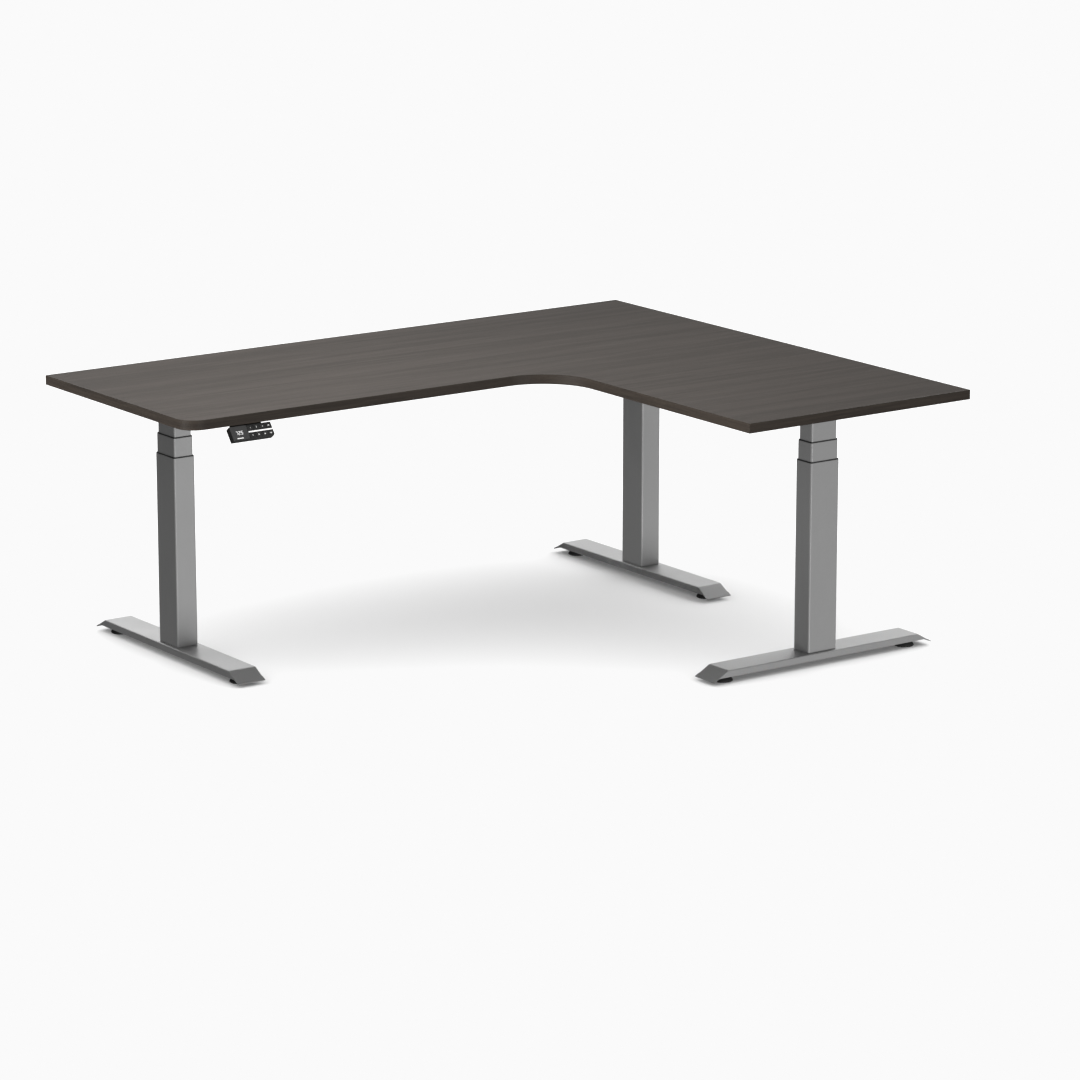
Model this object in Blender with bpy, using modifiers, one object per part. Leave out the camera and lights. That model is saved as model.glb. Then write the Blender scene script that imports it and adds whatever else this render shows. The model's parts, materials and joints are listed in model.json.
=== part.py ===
"""Height adjustable L-shaped standing desk on three telescopic lifting columns.

Units are metres and +Z is up. The origin is on the floor, under the middle of the desktop's
box. The main wing lies along the back (+Y) and the return comes forward on the right (+X).
"""

import math

import bmesh
import bpy
from mathutils import Euler, Matrix, Vector

# Gap between two separate pieces that rest on each other or are cut by each other.
GAP = 0.0003

# Desktop
DESK_LENGTH = 1.800
DESK_WIDTH = 1.500
MAIN_DEPTH = 0.700
RETURN_DEPTH = 0.700
TOP_THICKNESS = 0.025
DESK_HEIGHT = 0.691
INNER_CURVE = 0.150
FRONT_CORNER = 0.050
ARRIS = 0.0016
UNDERSIDE = DESK_HEIGHT - TOP_THICKNESS

# Feet: a folded steel channel with a sloped plate at each end
LEG_INSET = 0.170
FOOT_LENGTH = 0.700
FOOT_WIDTH = 0.080
FOOT_TOP = 0.0366
FOOT_FLANGE = 0.0175
FOOT_END_RUN = 0.044
FOOT_END_DROP = 0.0250
FOOT_SHEET = 0.0020
FOOT_FOLD = 0.0030

# Levelling feet
PAD_SPACING = 0.586
PAD_RADIUS = 0.0255
PAD_TOP_RADIUS = 0.0215
PAD_HEIGHT = 0.0110
PAD_RIM = 0.0050
STEM_RADIUS = 0.004
STEM_TOP = 0.0305
BOSS_RADIUS = 0.008
BOSS_CLEARANCE = 0.004

# Lifting columns, with the widest tube at the bottom
TUBE_LONG = 0.090
TUBE_SHORT = 0.060
TUBE_WALL = 0.0015
TUBE_CORNER = 0.004
GLIDE_GAP = 0.001
COLLAR_HEIGHT = 0.0025
COLLAR_PLAY = 0.0003
OUTER_TOP = 0.529
MIDDLE_TOP = 0.5795
MIDDLE_BOTTOM = 0.0895
INNER_BOTTOM = 0.135
PLUG_PLATE = 0.004
STAGE_STEP = TUBE_WALL + GLIDE_GAP

# Telescopic screw inside each column
SCREW_RADIUS = 0.0095
SCREW_BORE = 0.007
SCREW_BOTTOM = 0.075
SCREW_PLAY = 0.0004
SCREW_HEAD_RADIUS = 0.014
SCREW_HEAD = 0.0135
POST_WALL = 0.003
POST_PLAY = 0.0015
POST_TOP = 0.420
POST_NUT = 0.025
POST_FLANGE_RADIUS = 0.022
POST_FLANGE = 0.006
CARRIER_PLAY = 0.0022
CARRIER_WALL = 0.0028
CARRIER_TOP = 0.476
CARRIER_CAP = 0.006
ROD_ACROSS_FLATS = 0.010
ROD_BOTTOM = 0.130
ROD_IN_GEARBOX = 0.026

# Drive units
GEARBOX_WIDTH = 0.036
GEARBOX_HEIGHT = 0.036
GEARBOX_INSIDE = 0.022
GEARBOX_REACH = 0.075
MOTOR_RADIUS = 0.024
MOTOR_LENGTH = 0.112
MOTOR_STEP = 0.003
MOTOR_CAP = 0.018

# Steel frame under the desktop
FRAME_SHEET = 0.0025
BRACKET_LENGTH = 0.560
BRACKET_LIP = 0.015
BRACKET_PLAY = 0.0025
BRACKET_HOLE = 0.003
BRACKET_HOLE_PITCH = 0.200
RAIL_HEIGHT = 0.036
RAIL_WIDTH = 0.020
RAIL_WALL = 0.0015
RAIL_SPACING = 0.200

# Control box
BOX_LENGTH = 0.220
BOX_DEPTH = 0.090
BOX_HEIGHT = 0.032
BOX_LEFT_OF_CENTRE = 0.190
BOX_BEHIND_RAIL = 0.025
PORT_SIZE = (0.012, 0.009)
PORT_DEPTH = 0.010
PORT_PITCH = 0.026
PORT_COUNT = 4
INLET_SIZE = (0.027, 0.020)
INLET_DEPTH = 0.016

# Keypad, a tilted slab hung under the front edge
KEYPAD_LENGTH = 0.1195
KEYPAD_HEIGHT = 0.0385
KEYPAD_THICKNESS = 0.0168
KEYPAD_LEFT = 0.1155
KEYPAD_DROP = 0.0013
KEYPAD_TILT = math.radians(37.6)
WINDOW_LENGTH = 0.047
WINDOW_MARGIN = 0.001
WINDOW_THICKNESS = 0.0012
PROUD = 0.0003
STRIP_HEIGHT = 0.003
STRIP_BELOW_CENTRE = 0.0005
KEY_WIDTH = 0.0156
KEY_HEIGHT = 0.0135
KEY_THICKNESS = 0.0016
KEY_TRAVEL = 0.0008
KEY_PLAY = 0.0003
KEY_PITCH = 0.0174
KEY_RIGHT_MARGIN = 0.0012
KEY_ROW_RAISE = 0.0098
KEY_ROW_DROP = 0.0108
HANGER_WIDTH = 0.090
HANGER_SHEET = 0.002
HANGER_TAB = 0.040
HANGER_DOWN = 0.022

KEY_NAMES = (
    ("key_preset_1", "key_preset_2", "key_preset_3", "key_up"),
    ("key_preset_4", "key_save", "key_lock", "key_down"),
)

# Each leg's place, the turn that points its +X side inwards, and its name.
MAIN_Y = DESK_WIDTH / 2 - MAIN_DEPTH / 2
RETURN_X = DESK_LENGTH / 2 - RETURN_DEPTH / 2
LEGS = (
    ("left", (LEG_INSET - DESK_LENGTH / 2, MAIN_Y), 0.0),
    ("corner", (DESK_LENGTH / 2 - LEG_INSET, MAIN_Y), math.pi),
    ("return", (RETURN_X, LEG_INSET - DESK_WIDTH / 2), math.pi / 2),
)

# Colour, roughness and metallic value of each finish.
FINISHES = {
    "dark_oak_laminate": ((0.120, 0.105, 0.093), 0.55, 0.0),
    "silver_powder_coat": ((0.300, 0.300, 0.302), 0.42, 0.6),
    "machined_steel": ((0.480, 0.480, 0.490), 0.30, 1.0),
    "black_nylon": ((0.018, 0.018, 0.018), 0.60, 0.0),
    "black_enamel": ((0.025, 0.025, 0.027), 0.45, 0.2),
    "black_abs": ((0.022, 0.022, 0.023), 0.50, 0.0),
    "grey_window": ((0.060, 0.060, 0.062), 0.20, 0.0),
    "white_acrylic": ((0.850, 0.850, 0.850), 0.25, 0.0),
    "black_rubber": ((0.012, 0.012, 0.012), 0.75, 0.0),
}


def clear_scene():
    """Remove every object of the scene."""
    for obj in list(bpy.data.objects):
        bpy.data.objects.remove(obj, do_unlink=True)


def new_collection(name):
    """A collection linked to the scene."""
    collection = bpy.data.collections.new(name)
    bpy.context.scene.collection.children.link(collection)
    return collection


def finish(node, kind):
    """A Principled material of the node's own."""
    colour, roughness, metallic = FINISHES[kind]
    material = bpy.data.materials.new(f"{node}_{kind}")
    material.use_nodes = True
    shader = material.node_tree.nodes["Principled BSDF"]
    shader.inputs["Base Color"].default_value = (*colour, 1.0)
    shader.inputs["Roughness"].default_value = roughness
    shader.inputs["Metallic"].default_value = metallic
    return material


# Outlines ------------------------------------------------------------------------------------


def arc(centre, radius, start, end, steps):
    """Points along an arc, with its angles in degrees."""
    turns = [math.radians(start + (end - start) * i / steps) for i in range(steps + 1)]
    return [(centre[0] + radius * math.cos(t), centre[1] + radius * math.sin(t)) for t in turns]


def rectangle(width, height, centre=(0.0, 0.0)):
    """A plain rectangle's corners, anticlockwise."""
    x, y = width / 2, height / 2
    return [(centre[0] + a * x, centre[1] + b * y) for a, b in ((-1, -1), (1, -1), (1, 1), (-1, 1))]


def round_rectangle(width, height, radius, steps=3):
    """A rectangle whose corners are arcs, anticlockwise."""
    x, y = width / 2 - radius, height / 2 - radius
    points = []
    for turn, (a, b) in enumerate(((1, 1), (-1, 1), (-1, -1), (1, -1))):
        points += arc((a * x, b * y), radius, 90 * turn, 90 * turn + 90, steps)
    return points


def desktop_outline():
    """The L of the desktop, with one round front corner and the curve inside the L."""
    left, right = -DESK_LENGTH / 2, DESK_LENGTH / 2
    back, end = DESK_WIDTH / 2, -DESK_WIDTH / 2
    front, side = back - MAIN_DEPTH, right - RETURN_DEPTH
    points = [(left, back)]
    points += arc((left + FRONT_CORNER, front + FRONT_CORNER), FRONT_CORNER, 180, 270, 8)
    points += arc((side - INNER_CURVE, front - INNER_CURVE), INNER_CURVE, 90, 0, 14)
    points += [(side, end), (right, end), (right, back)]
    return points


# Solids --------------------------------------------------------------------------------------


def working_object(name, mesh):
    """A plain object in the scene that a mesh is worked on in."""
    obj = bpy.data.objects.new(name, mesh)
    bpy.context.scene.collection.objects.link(obj)
    return obj


def evaluated_mesh(obj, name):
    """The object's mesh with its modifiers applied. The object is removed."""
    bpy.context.view_layer.update()
    graph = bpy.context.evaluated_depsgraph_get()
    mesh = bpy.data.meshes.new_from_object(obj.evaluated_get(graph))
    mesh.name = name
    bpy.data.objects.remove(obj, do_unlink=True)
    return mesh


def changed_mesh(mesh, change):
    """Open the mesh in bmesh, make one change to it, and write it back."""
    bm = bmesh.new()
    bm.from_mesh(mesh)
    change(bm)
    bm.to_mesh(mesh)
    bm.free()
    return mesh


def placed(mesh, matrix):
    """The mesh moved by a matrix."""
    return changed_mesh(mesh, lambda bm: bmesh.ops.transform(bm, matrix=matrix, verts=bm.verts))


def shifted(mesh, x=0.0, y=0.0, z=0.0):
    """The mesh moved along the axes."""
    return placed(mesh, Matrix.Translation((x, y, z)))


def prism(name, outlines, bottom, top):
    """A flat outline, with holes after its first outline, made thick from bottom to top."""
    curve = bpy.data.curves.new(name, "CURVE")
    curve.dimensions = "2D"
    curve.fill_mode = "BOTH"
    curve.extrude = (top - bottom) / 2
    for points in outlines:
        spline = curve.splines.new("POLY")
        spline.points.add(len(points) - 1)
        for point, (x, y) in zip(spline.points, points):
            point.co = (x, y, 0.0, 1.0)
        spline.use_cyclic_u = True
    mesh = evaluated_mesh(working_object(name, curve), name)
    changed_mesh(mesh, lambda bm: bmesh.ops.remove_doubles(bm, verts=bm.verts, dist=1e-6))
    return shifted(mesh, z=(top + bottom) / 2)


def box(name, low, high):
    """A box between its lowest and highest corners."""
    size = [b - a for a, b in zip(low, high)]
    middle = [(a + b) / 2 for a, b in zip(low, high)]
    mesh = bpy.data.meshes.new(name)
    bm = bmesh.new()
    matrix = Matrix.Translation(middle) @ Matrix.Diagonal((*size, 1.0))
    bmesh.ops.create_cube(bm, size=1.0, matrix=matrix)
    bm.to_mesh(mesh)
    bm.free()
    return mesh


def cylinder(name, radius, bottom, top, sides=24):
    """A cylinder about Z, or a regular prism where it has few sides."""
    mesh = bpy.data.meshes.new(name)
    bm = bmesh.new()
    bmesh.ops.create_cone(
        bm,
        cap_ends=True,
        segments=sides,
        radius1=radius,
        radius2=radius,
        depth=top - bottom,
        matrix=Matrix.Translation((0.0, 0.0, (top + bottom) / 2)),
    )
    bm.to_mesh(mesh)
    bm.free()
    return mesh


def turned(name, profile, steps=24, closed=False):
    """A profile of (radius, height) points turned about Z. It runs down its outer side."""
    mesh = bpy.data.meshes.new(name)
    edges = [(i, i + 1) for i in range(len(profile) - 1)]
    if closed:
        edges.append((len(profile) - 1, 0))
    mesh.from_pydata([(r, 0.0, z) for r, z in profile], edges, [])
    obj = working_object(name, mesh)
    screw = obj.modifiers.new("Turn", "SCREW")
    screw.steps = steps
    screw.render_steps = steps
    screw.use_merge_vertices = True
    screw.merge_threshold = 0.00005
    screw.use_smooth_shade = True
    return round_shaded(evaluated_mesh(obj, name))


def round_shaded(mesh):
    """Smooth shading, with edges over 35 degrees kept sharp."""
    mesh.shade_smooth()
    mesh.set_sharp_from_angle(angle=math.radians(35))
    return mesh


def combined(mesh, others, operation):
    """A Boolean of the mesh with each of the others in turn."""
    name = mesh.name
    obj = working_object(f"{name}_work", mesh)
    tools = []
    for i, other in enumerate(others):
        tool = working_object(f"{name}_tool_{i}", other)
        tool.hide_render = True
        tool.display_type = "WIRE"
        modifier = obj.modifiers.new(f"Boolean {i}", "BOOLEAN")
        modifier.operation = operation
        modifier.solver = "EXACT"
        modifier.object = tool
        tools.append(tool)
    result = evaluated_mesh(obj, name)
    for tool in tools:
        bpy.data.objects.remove(tool, do_unlink=True)
    return result


def bevelled(mesh, width, segments=2, angle=40.0):
    """The mesh with its sharp edges rounded."""
    obj = working_object(f"{mesh.name}_work", mesh)
    bevel = obj.modifiers.new("Bevel", "BEVEL")
    bevel.width = width
    bevel.segments = segments
    bevel.limit_method = "ANGLE"
    bevel.angle_limit = math.radians(angle)
    return evaluated_mesh(obj, mesh.name)


def thickened(mesh, thickness, offset=-1.0):
    """An open sheet given its thickness on one side."""
    obj = working_object(f"{mesh.name}_work", mesh)
    solidify = obj.modifiers.new("Solidify", "SOLIDIFY")
    solidify.thickness = thickness
    solidify.offset = offset
    solidify.use_even_offset = True
    solidify.use_quality_normals = True
    return evaluated_mesh(obj, mesh.name)


# The desktop ---------------------------------------------------------------------------------


def desktop_mesh():
    """The L-shaped board with a small rounded arris all round."""
    return bevelled(prism("desktop", [desktop_outline()], UNDERSIDE, DESK_HEIGHT), ARRIS)


# Legs, in a frame of their own: the foot along Y, and +X towards the middle of the desk ------


def foot_mesh():
    """The folded channel, its sloped end plates, and the bosses of the levelling feet."""
    half = FOOT_LENGTH / 2
    fold = half - FOOT_END_RUN
    slope = FOOT_END_RUN / FOOT_END_DROP
    flange_end = fold + FOOT_FLANGE * slope
    tip_drop = FOOT_END_DROP - FOOT_FLANGE

    def fold_up(bm):
        for vert in bm.verts:
            reach = fold if vert.co.z > FOOT_TOP - FOOT_FLANGE / 2 else flange_end
            vert.co.y = math.copysign(reach, vert.co.y)
        lowest = min(bm.faces, key=lambda face: face.calc_center_median().z)
        ends = [edge for edge in lowest.edges if abs(edge.verts[0].co.y - edge.verts[1].co.y) < 1e-6]
        bmesh.ops.delete(bm, geom=[lowest], context="FACES_ONLY")
        for side in (-1, 1):
            end = [edge for edge in ends if edge.verts[0].co.y * side > 0]
            grown = bmesh.ops.extrude_edge_only(bm, edges=end)["geom"]
            verts = [item for item in grown if isinstance(item, bmesh.types.BMVert)]
            step = Vector((0.0, side * tip_drop * slope, -tip_drop))
            bmesh.ops.translate(bm, vec=step, verts=verts)
        bmesh.ops.recalc_face_normals(bm, faces=bm.faces)
        if max(bm.faces, key=lambda face: face.calc_center_median().z).normal.z < 0:
            bmesh.ops.reverse_faces(bm, faces=bm.faces)

    low = (-FOOT_WIDTH / 2, -fold, FOOT_TOP - FOOT_FLANGE)
    sheet = changed_mesh(box("foot", low, (FOOT_WIDTH / 2, fold, FOOT_TOP)), fold_up)
    channel = thickened(bevelled(sheet, FOOT_FOLD, segments=2, angle=20.0), FOOT_SHEET)
    plate = FOOT_TOP - FOOT_SHEET
    bosses, holes = [], []
    for side in (-1, 1):
        y = side * PAD_SPACING / 2
        boss = cylinder("boss", BOSS_RADIUS, PAD_HEIGHT + BOSS_CLEARANCE, plate + FOOT_SHEET / 2, 6)
        hole = cylinder("hole", STEM_RADIUS + GAP, PAD_HEIGHT, plate - FOOT_SHEET / 4, 16)
        bosses.append(shifted(boss, y=y))
        holes.append(shifted(hole, y=y))
    return combined(combined(channel, bosses, "UNION"), holes, "DIFFERENCE")


def levelling_foot_mesh():
    """A round glide with its threaded stem, turned in one piece."""
    profile = [
        (0.0, STEM_TOP),
        (STEM_RADIUS, STEM_TOP),
        (STEM_RADIUS, PAD_HEIGHT),
        (PAD_TOP_RADIUS, PAD_HEIGHT),
        (PAD_RADIUS, PAD_RIM),
        (PAD_RADIUS, 0.0),
        (0.0, 0.0),
    ]
    return turned("levelling_foot", profile)


def stage_size(stage):
    """A tube's outer size: 0 is the fixed outer tube, 1 the middle one and 2 the inner one."""
    return TUBE_SHORT - 2 * stage * STAGE_STEP, TUBE_LONG - 2 * stage * STAGE_STEP


def tube_outlines(stage):
    """The outer and inner outlines of a stage's tube."""
    width, length = stage_size(stage)
    inner = round_rectangle(width - 2 * TUBE_WALL, length - 2 * TUBE_WALL, TUBE_CORNER - TUBE_WALL)
    return [round_rectangle(width, length, TUBE_CORNER), inner]


def collar_mesh(name, stage, top):
    """The plastic glide collar on a stage's rim, round the next stage."""
    width, length = stage_size(stage)
    inner_width, inner_length = stage_size(stage + 1)
    outlines = [
        round_rectangle(width - 2 * COLLAR_PLAY, length - 2 * COLLAR_PLAY, TUBE_CORNER),
        round_rectangle(inner_width + 2 * COLLAR_PLAY, inner_length + 2 * COLLAR_PLAY, TUBE_CORNER),
    ]
    return prism(name, outlines, top - COLLAR_HEIGHT, top)


def rim(top):
    """The height of a tube's cut end, under the collar that finishes it."""
    return top - COLLAR_HEIGHT - GAP


def post_bore():
    """The radius inside the nut post, round the screw."""
    return SCREW_RADIUS + POST_PLAY


def nut_post_mesh():
    """The fixed post that carries the nut at its top, on a round flange."""
    bore, outer = post_bore(), post_bore() + POST_WALL
    nut = SCREW_RADIUS + SCREW_PLAY
    bottom = FOOT_TOP + GAP
    profile = [
        (outer, POST_TOP),
        (outer, bottom + POST_FLANGE),
        (POST_FLANGE_RADIUS, bottom + POST_FLANGE),
        (POST_FLANGE_RADIUS, bottom),
        (bore, bottom),
        (bore, POST_TOP - POST_NUT),
        (nut, POST_TOP - POST_NUT),
        (nut, POST_TOP),
    ]
    return turned("nut_post", profile, 20, closed=True)


def middle_tube_mesh():
    """The middle tube, its plug plate, and the carrier that holds the screw's head."""
    tube = prism("middle_tube", tube_outlines(1), MIDDLE_BOTTOM, rim(MIDDLE_TOP))
    width, length = stage_size(1)
    inside = post_bore() + POST_WALL + CARRIER_PLAY
    plate_outline = rectangle(width - TUBE_WALL, length - TUBE_WALL)
    plate_top = MIDDLE_BOTTOM + PLUG_PLATE
    hole = arc((0.0, 0.0), inside, 0, 342, 19)
    plate = prism("plug", [plate_outline, hole], MIDDLE_BOTTOM + TUBE_WALL, plate_top)
    outside = inside + CARRIER_WALL
    carrier_profile = [
        (outside, CARRIER_TOP),
        (outside, plate_top - PLUG_PLATE / 4),
        (inside + CARRIER_WALL / 2, plate_top - PLUG_PLATE / 4),
        (inside + CARRIER_WALL / 2, plate_top + PLUG_PLATE / 4),
        (inside, plate_top + PLUG_PLATE / 4),
        (inside, CARRIER_TOP - CARRIER_CAP),
        (SCREW_RADIUS + SCREW_PLAY, CARRIER_TOP - CARRIER_CAP),
        (SCREW_RADIUS + SCREW_PLAY, CARRIER_TOP),
    ]
    carrier = turned("carrier", carrier_profile, 20, closed=True)
    return combined(tube, [plate, carrier], "UNION")


def lead_screw_mesh():
    """The hollow screw, hung by its head on the middle stage's carrier."""
    seat = CARRIER_TOP + GAP
    top = seat + SCREW_HEAD
    profile = [
        (SCREW_HEAD_RADIUS, top),
        (SCREW_HEAD_RADIUS, seat),
        (SCREW_RADIUS, seat),
        (SCREW_RADIUS, SCREW_BOTTOM),
        (SCREW_BORE, SCREW_BOTTOM),
        (SCREW_BORE, top),
    ]
    return turned("lead_screw", profile, 20, closed=True)


def frame_top():
    """The height of the steel frame's top face."""
    return UNDERSIDE - GAP


def gearbox_top():
    """The gearbox passes just under the bracket's lip."""
    return frame_top() - BRACKET_LIP - GAP


def rod_corner():
    """The hexagonal rod's radius at its corners."""
    return ROD_ACROSS_FLATS / 2 / math.cos(math.pi / 6)


def inner_tube_mesh():
    """The inner tube, with a slot at its top for the gearbox."""
    top = frame_top() - FRAME_SHEET - GAP
    tube = prism("inner_tube", tube_outlines(2), INNER_BOTTOM, top)
    half = GEARBOX_WIDTH / 2 + GAP
    slot_bottom = gearbox_top() - GEARBOX_HEIGHT - GAP
    slot = box("slot", (0.0, -half, slot_bottom), (TUBE_SHORT, half, top + TUBE_WALL))
    return combined(tube, [slot], "DIFFERENCE")


def gearbox_mesh():
    """The gearbox housing, from the column's middle out to the motor."""
    top = gearbox_top()
    bottom = top - GEARBOX_HEIGHT
    half = GEARBOX_WIDTH / 2
    block = box("gearbox", (-GEARBOX_INSIDE, -half, bottom), (GEARBOX_REACH, half, top))
    bore = cylinder("bore", rod_corner() + GAP, bottom - GAP, bottom + ROD_IN_GEARBOX + GAP, 16)
    return combined(bevelled(block, 0.002, 1), [bore], "DIFFERENCE")


def drive_rod_mesh():
    """The hexagonal rod that the gearbox turns, inside the hollow screw."""
    top = gearbox_top() - GEARBOX_HEIGHT + ROD_IN_GEARBOX
    return cylinder("drive_rod", rod_corner(), ROD_BOTTOM, top, 6)


def motor_mesh():
    """The motor lying level behind its gearbox, with a stepped end cap."""
    start, end = GEARBOX_REACH + GAP, GEARBOX_REACH + GAP + MOTOR_LENGTH
    cap = end - MOTOR_CAP
    profile = [
        (0.0, end),
        (MOTOR_RADIUS - 2 * MOTOR_STEP, end),
        (MOTOR_RADIUS - MOTOR_STEP, end - MOTOR_STEP),
        (MOTOR_RADIUS - MOTOR_STEP, cap),
        (MOTOR_RADIUS, cap),
        (MOTOR_RADIUS, start),
        (0.0, start),
    ]
    mesh = turned("motor", profile)
    lie_down = Euler((0.0, math.pi / 2, 0.0)).to_matrix().to_4x4()
    height = gearbox_top() - GEARBOX_HEIGHT / 2
    return shifted(placed(mesh, lie_down), z=height)


def bracket_width():
    """The bracket's width, round the inner tube."""
    return stage_size(2)[0] + 2 * (FRAME_SHEET + BRACKET_PLAY)


def bracket_mesh():
    """A steel channel under the desktop, over the head of the column."""
    half, top = bracket_width() / 2, frame_top()
    low, plate = top - BRACKET_LIP, top - FRAME_SHEET
    inside = half - FRAME_SHEET
    profile = [
        (-half, low), (-inside, low), (-inside, plate), (inside, plate),
        (inside, low), (half, low), (half, top), (-half, top),
    ]
    channel = prism("bracket", [profile], -BRACKET_LENGTH / 2, BRACKET_LENGTH / 2)
    stand_up = Euler((math.pi / 2, 0.0, 0.0)).to_matrix().to_4x4()
    holes = []
    for side in (-1, 1):
        for step in (0.5, 1.25):
            hole = cylinder("hole", BRACKET_HOLE, plate - 0.001, top + 0.001, 12)
            holes.append(shifted(hole, y=side * step * BRACKET_HOLE_PITCH))
    return combined(placed(channel, stand_up), holes, "DIFFERENCE")


# Pieces placed in the desk's own frame -------------------------------------------------------


def rail_mesh(start, end):
    """A rectangular tube along +X from start to end, with its top at the frame's top."""
    outer = rectangle(RAIL_WIDTH, RAIL_HEIGHT)
    inner = rectangle(RAIL_WIDTH - 2 * RAIL_WALL, RAIL_HEIGHT - 2 * RAIL_WALL)
    mesh = prism("rail", [outer, inner], start, end)
    lie_down = Matrix(((0, 0, 1, 0), (1, 0, 0, 0), (0, 1, 0, 0), (0, 0, 0, 1)))
    return shifted(placed(mesh, lie_down), z=frame_top() - RAIL_HEIGHT / 2)


def control_box_mesh():
    """The control box, with its mains inlet and its plug sockets on the back."""
    top = frame_top()
    half = BOX_LENGTH / 2
    body = box("control_box", (-half, 0.0, top - BOX_HEIGHT), (half, BOX_DEPTH, top))
    middle = top - BOX_HEIGHT / 2
    cuts = []
    for i in range(PORT_COUNT):
        x = half - (i + 1) * PORT_PITCH
        cuts.append(pocket(x, middle, PORT_SIZE, PORT_DEPTH))
    cuts.append(pocket(PORT_PITCH - half, middle, INLET_SIZE, INLET_DEPTH))
    return combined(bevelled(body, 0.003), cuts, "DIFFERENCE")


def pocket(x, z, size, depth):
    """A cutter for a socket in the control box's back face."""
    low = (x - size[0] / 2, BOX_DEPTH - depth, z - size[1] / 2)
    high = (x + size[0] / 2, BOX_DEPTH + 0.001, z + size[1] / 2)
    return box("pocket", low, high)


# Keypad, in a frame of its own: the face's middle is the origin, and the face looks along +Z -


def key_place(row, column):
    """The middle of a key on the face."""
    right = KEYPAD_LENGTH / 2 - KEY_RIGHT_MARGIN - KEY_WIDTH / 2
    x = right - (3 - column) * KEY_PITCH
    return x, (KEY_ROW_RAISE, -KEY_ROW_DROP)[row]


def window_middle():
    """The middle of the display window along the face."""
    return -KEYPAD_LENGTH / 2 + WINDOW_MARGIN + WINDOW_LENGTH / 2


def window_height():
    """The display window's height on the face."""
    return KEYPAD_HEIGHT - 2 * WINDOW_MARGIN


def strip_span():
    """Where the white strip starts and ends along the face."""
    start = window_middle() + WINDOW_LENGTH / 2 + 2 * WINDOW_MARGIN
    return start, KEYPAD_LENGTH / 2 - WINDOW_MARGIN


def keypad_housing_mesh():
    """The housing, with a pocket for the window, the strip and each key."""
    low = (-KEYPAD_LENGTH / 2, -KEYPAD_HEIGHT / 2, -KEYPAD_THICKNESS)
    body = bevelled(box("keypad_housing", low, (KEYPAD_LENGTH / 2, KEYPAD_HEIGHT / 2, 0.0)), 0.0008)
    depth = WINDOW_THICKNESS - PROUD + GAP
    window = round_rectangle(WINDOW_LENGTH + 2 * GAP, window_height() + 2 * GAP, 0.003)
    cuts = [shifted(prism("window_pocket", [window], -depth, 0.001), x=window_middle())]
    start, end = strip_span()
    half = STRIP_HEIGHT / 2 + GAP
    y = -STRIP_BELOW_CENTRE
    cuts.append(box("strip_pocket", (start - GAP, y - half, -depth), (end + GAP, y + half, 0.001)))
    key_depth = KEY_THICKNESS - PROUD + KEY_TRAVEL + GAP
    width, height = KEY_WIDTH + 2 * KEY_PLAY, KEY_HEIGHT + 2 * KEY_PLAY
    for row in range(2):
        for column in range(4):
            x, y = key_place(row, column)
            hole = rectangle(width, height, (x, y))
            cuts.append(prism("key_pocket", [hole], -key_depth, 0.001))
    return combined(body, cuts, "DIFFERENCE")


def keypad_window_mesh():
    """The display window, a thin plate with round corners."""
    outline = round_rectangle(WINDOW_LENGTH, window_height(), 0.0027, 4)
    return shifted(prism("keypad_window", [outline], PROUD - WINDOW_THICKNESS, PROUD), x=window_middle())


def keypad_strip_mesh():
    """The white strip between the two rows of keys."""
    start, end = strip_span()
    y, half = -STRIP_BELOW_CENTRE, STRIP_HEIGHT / 2
    return box("keypad_strip", (start, y - half, PROUD - WINDOW_THICKNESS), (end, y + half, PROUD))


def key_mesh():
    """A flat key cap."""
    low = (-KEY_WIDTH / 2, -KEY_HEIGHT / 2, PROUD - KEY_THICKNESS)
    return bevelled(box("key", low, (KEY_WIDTH / 2, KEY_HEIGHT / 2, PROUD)), 0.0003, 1)


def keypad_hanger_mesh():
    """The bent plate that holds the keypad under the desktop, along X about the desk's frame."""
    back = Vector((0.0, math.cos(KEYPAD_TILT), -math.sin(KEYPAD_TILT)))
    down = Vector((0.0, -math.sin(KEYPAD_TILT), -math.cos(KEYPAD_TILT)))
    edge = keypad_top_edge() + back * (KEYPAD_THICKNESS + GAP)
    rise = (frame_top() - edge.z) / -down.z
    bend = edge - down * rise
    low = edge + down * HANGER_DOWN
    tab = bend + Vector((0.0, HANGER_TAB, 0.0))
    sheet = bpy.data.meshes.new("keypad_hanger")
    bm = bmesh.new()
    verts = [bm.verts.new((-HANGER_WIDTH / 2, p.y, p.z)) for p in (low, bend, tab)]
    edges = [bm.edges.new(pair) for pair in zip(verts, verts[1:])]
    grown = bmesh.ops.extrude_edge_only(bm, edges=edges)["geom"]
    moved = [item for item in grown if isinstance(item, bmesh.types.BMVert)]
    bmesh.ops.translate(bm, vec=(HANGER_WIDTH, 0.0, 0.0), verts=moved)
    bmesh.ops.recalc_face_normals(bm, faces=bm.faces)
    if bm.faces[:][0].normal.z + bm.faces[:][1].normal.z < 0:
        bmesh.ops.reverse_faces(bm, faces=bm.faces)
    bm.to_mesh(sheet)
    bm.free()
    return thickened(sheet, HANGER_SHEET)


def keypad_top_edge():
    """The middle of the face's top edge, flush with the desktop's front edge."""
    x = KEYPAD_LEFT - DESK_LENGTH / 2 + KEYPAD_LENGTH / 2
    return Vector((x, DESK_WIDTH / 2 - MAIN_DEPTH, UNDERSIDE - KEYPAD_DROP))


def keypad_middle():
    """The middle of the face."""
    down = Vector((0.0, -math.sin(KEYPAD_TILT), -math.cos(KEYPAD_TILT)))
    return keypad_top_edge() + down * KEYPAD_HEIGHT / 2


# Assembly ------------------------------------------------------------------------------------


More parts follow.
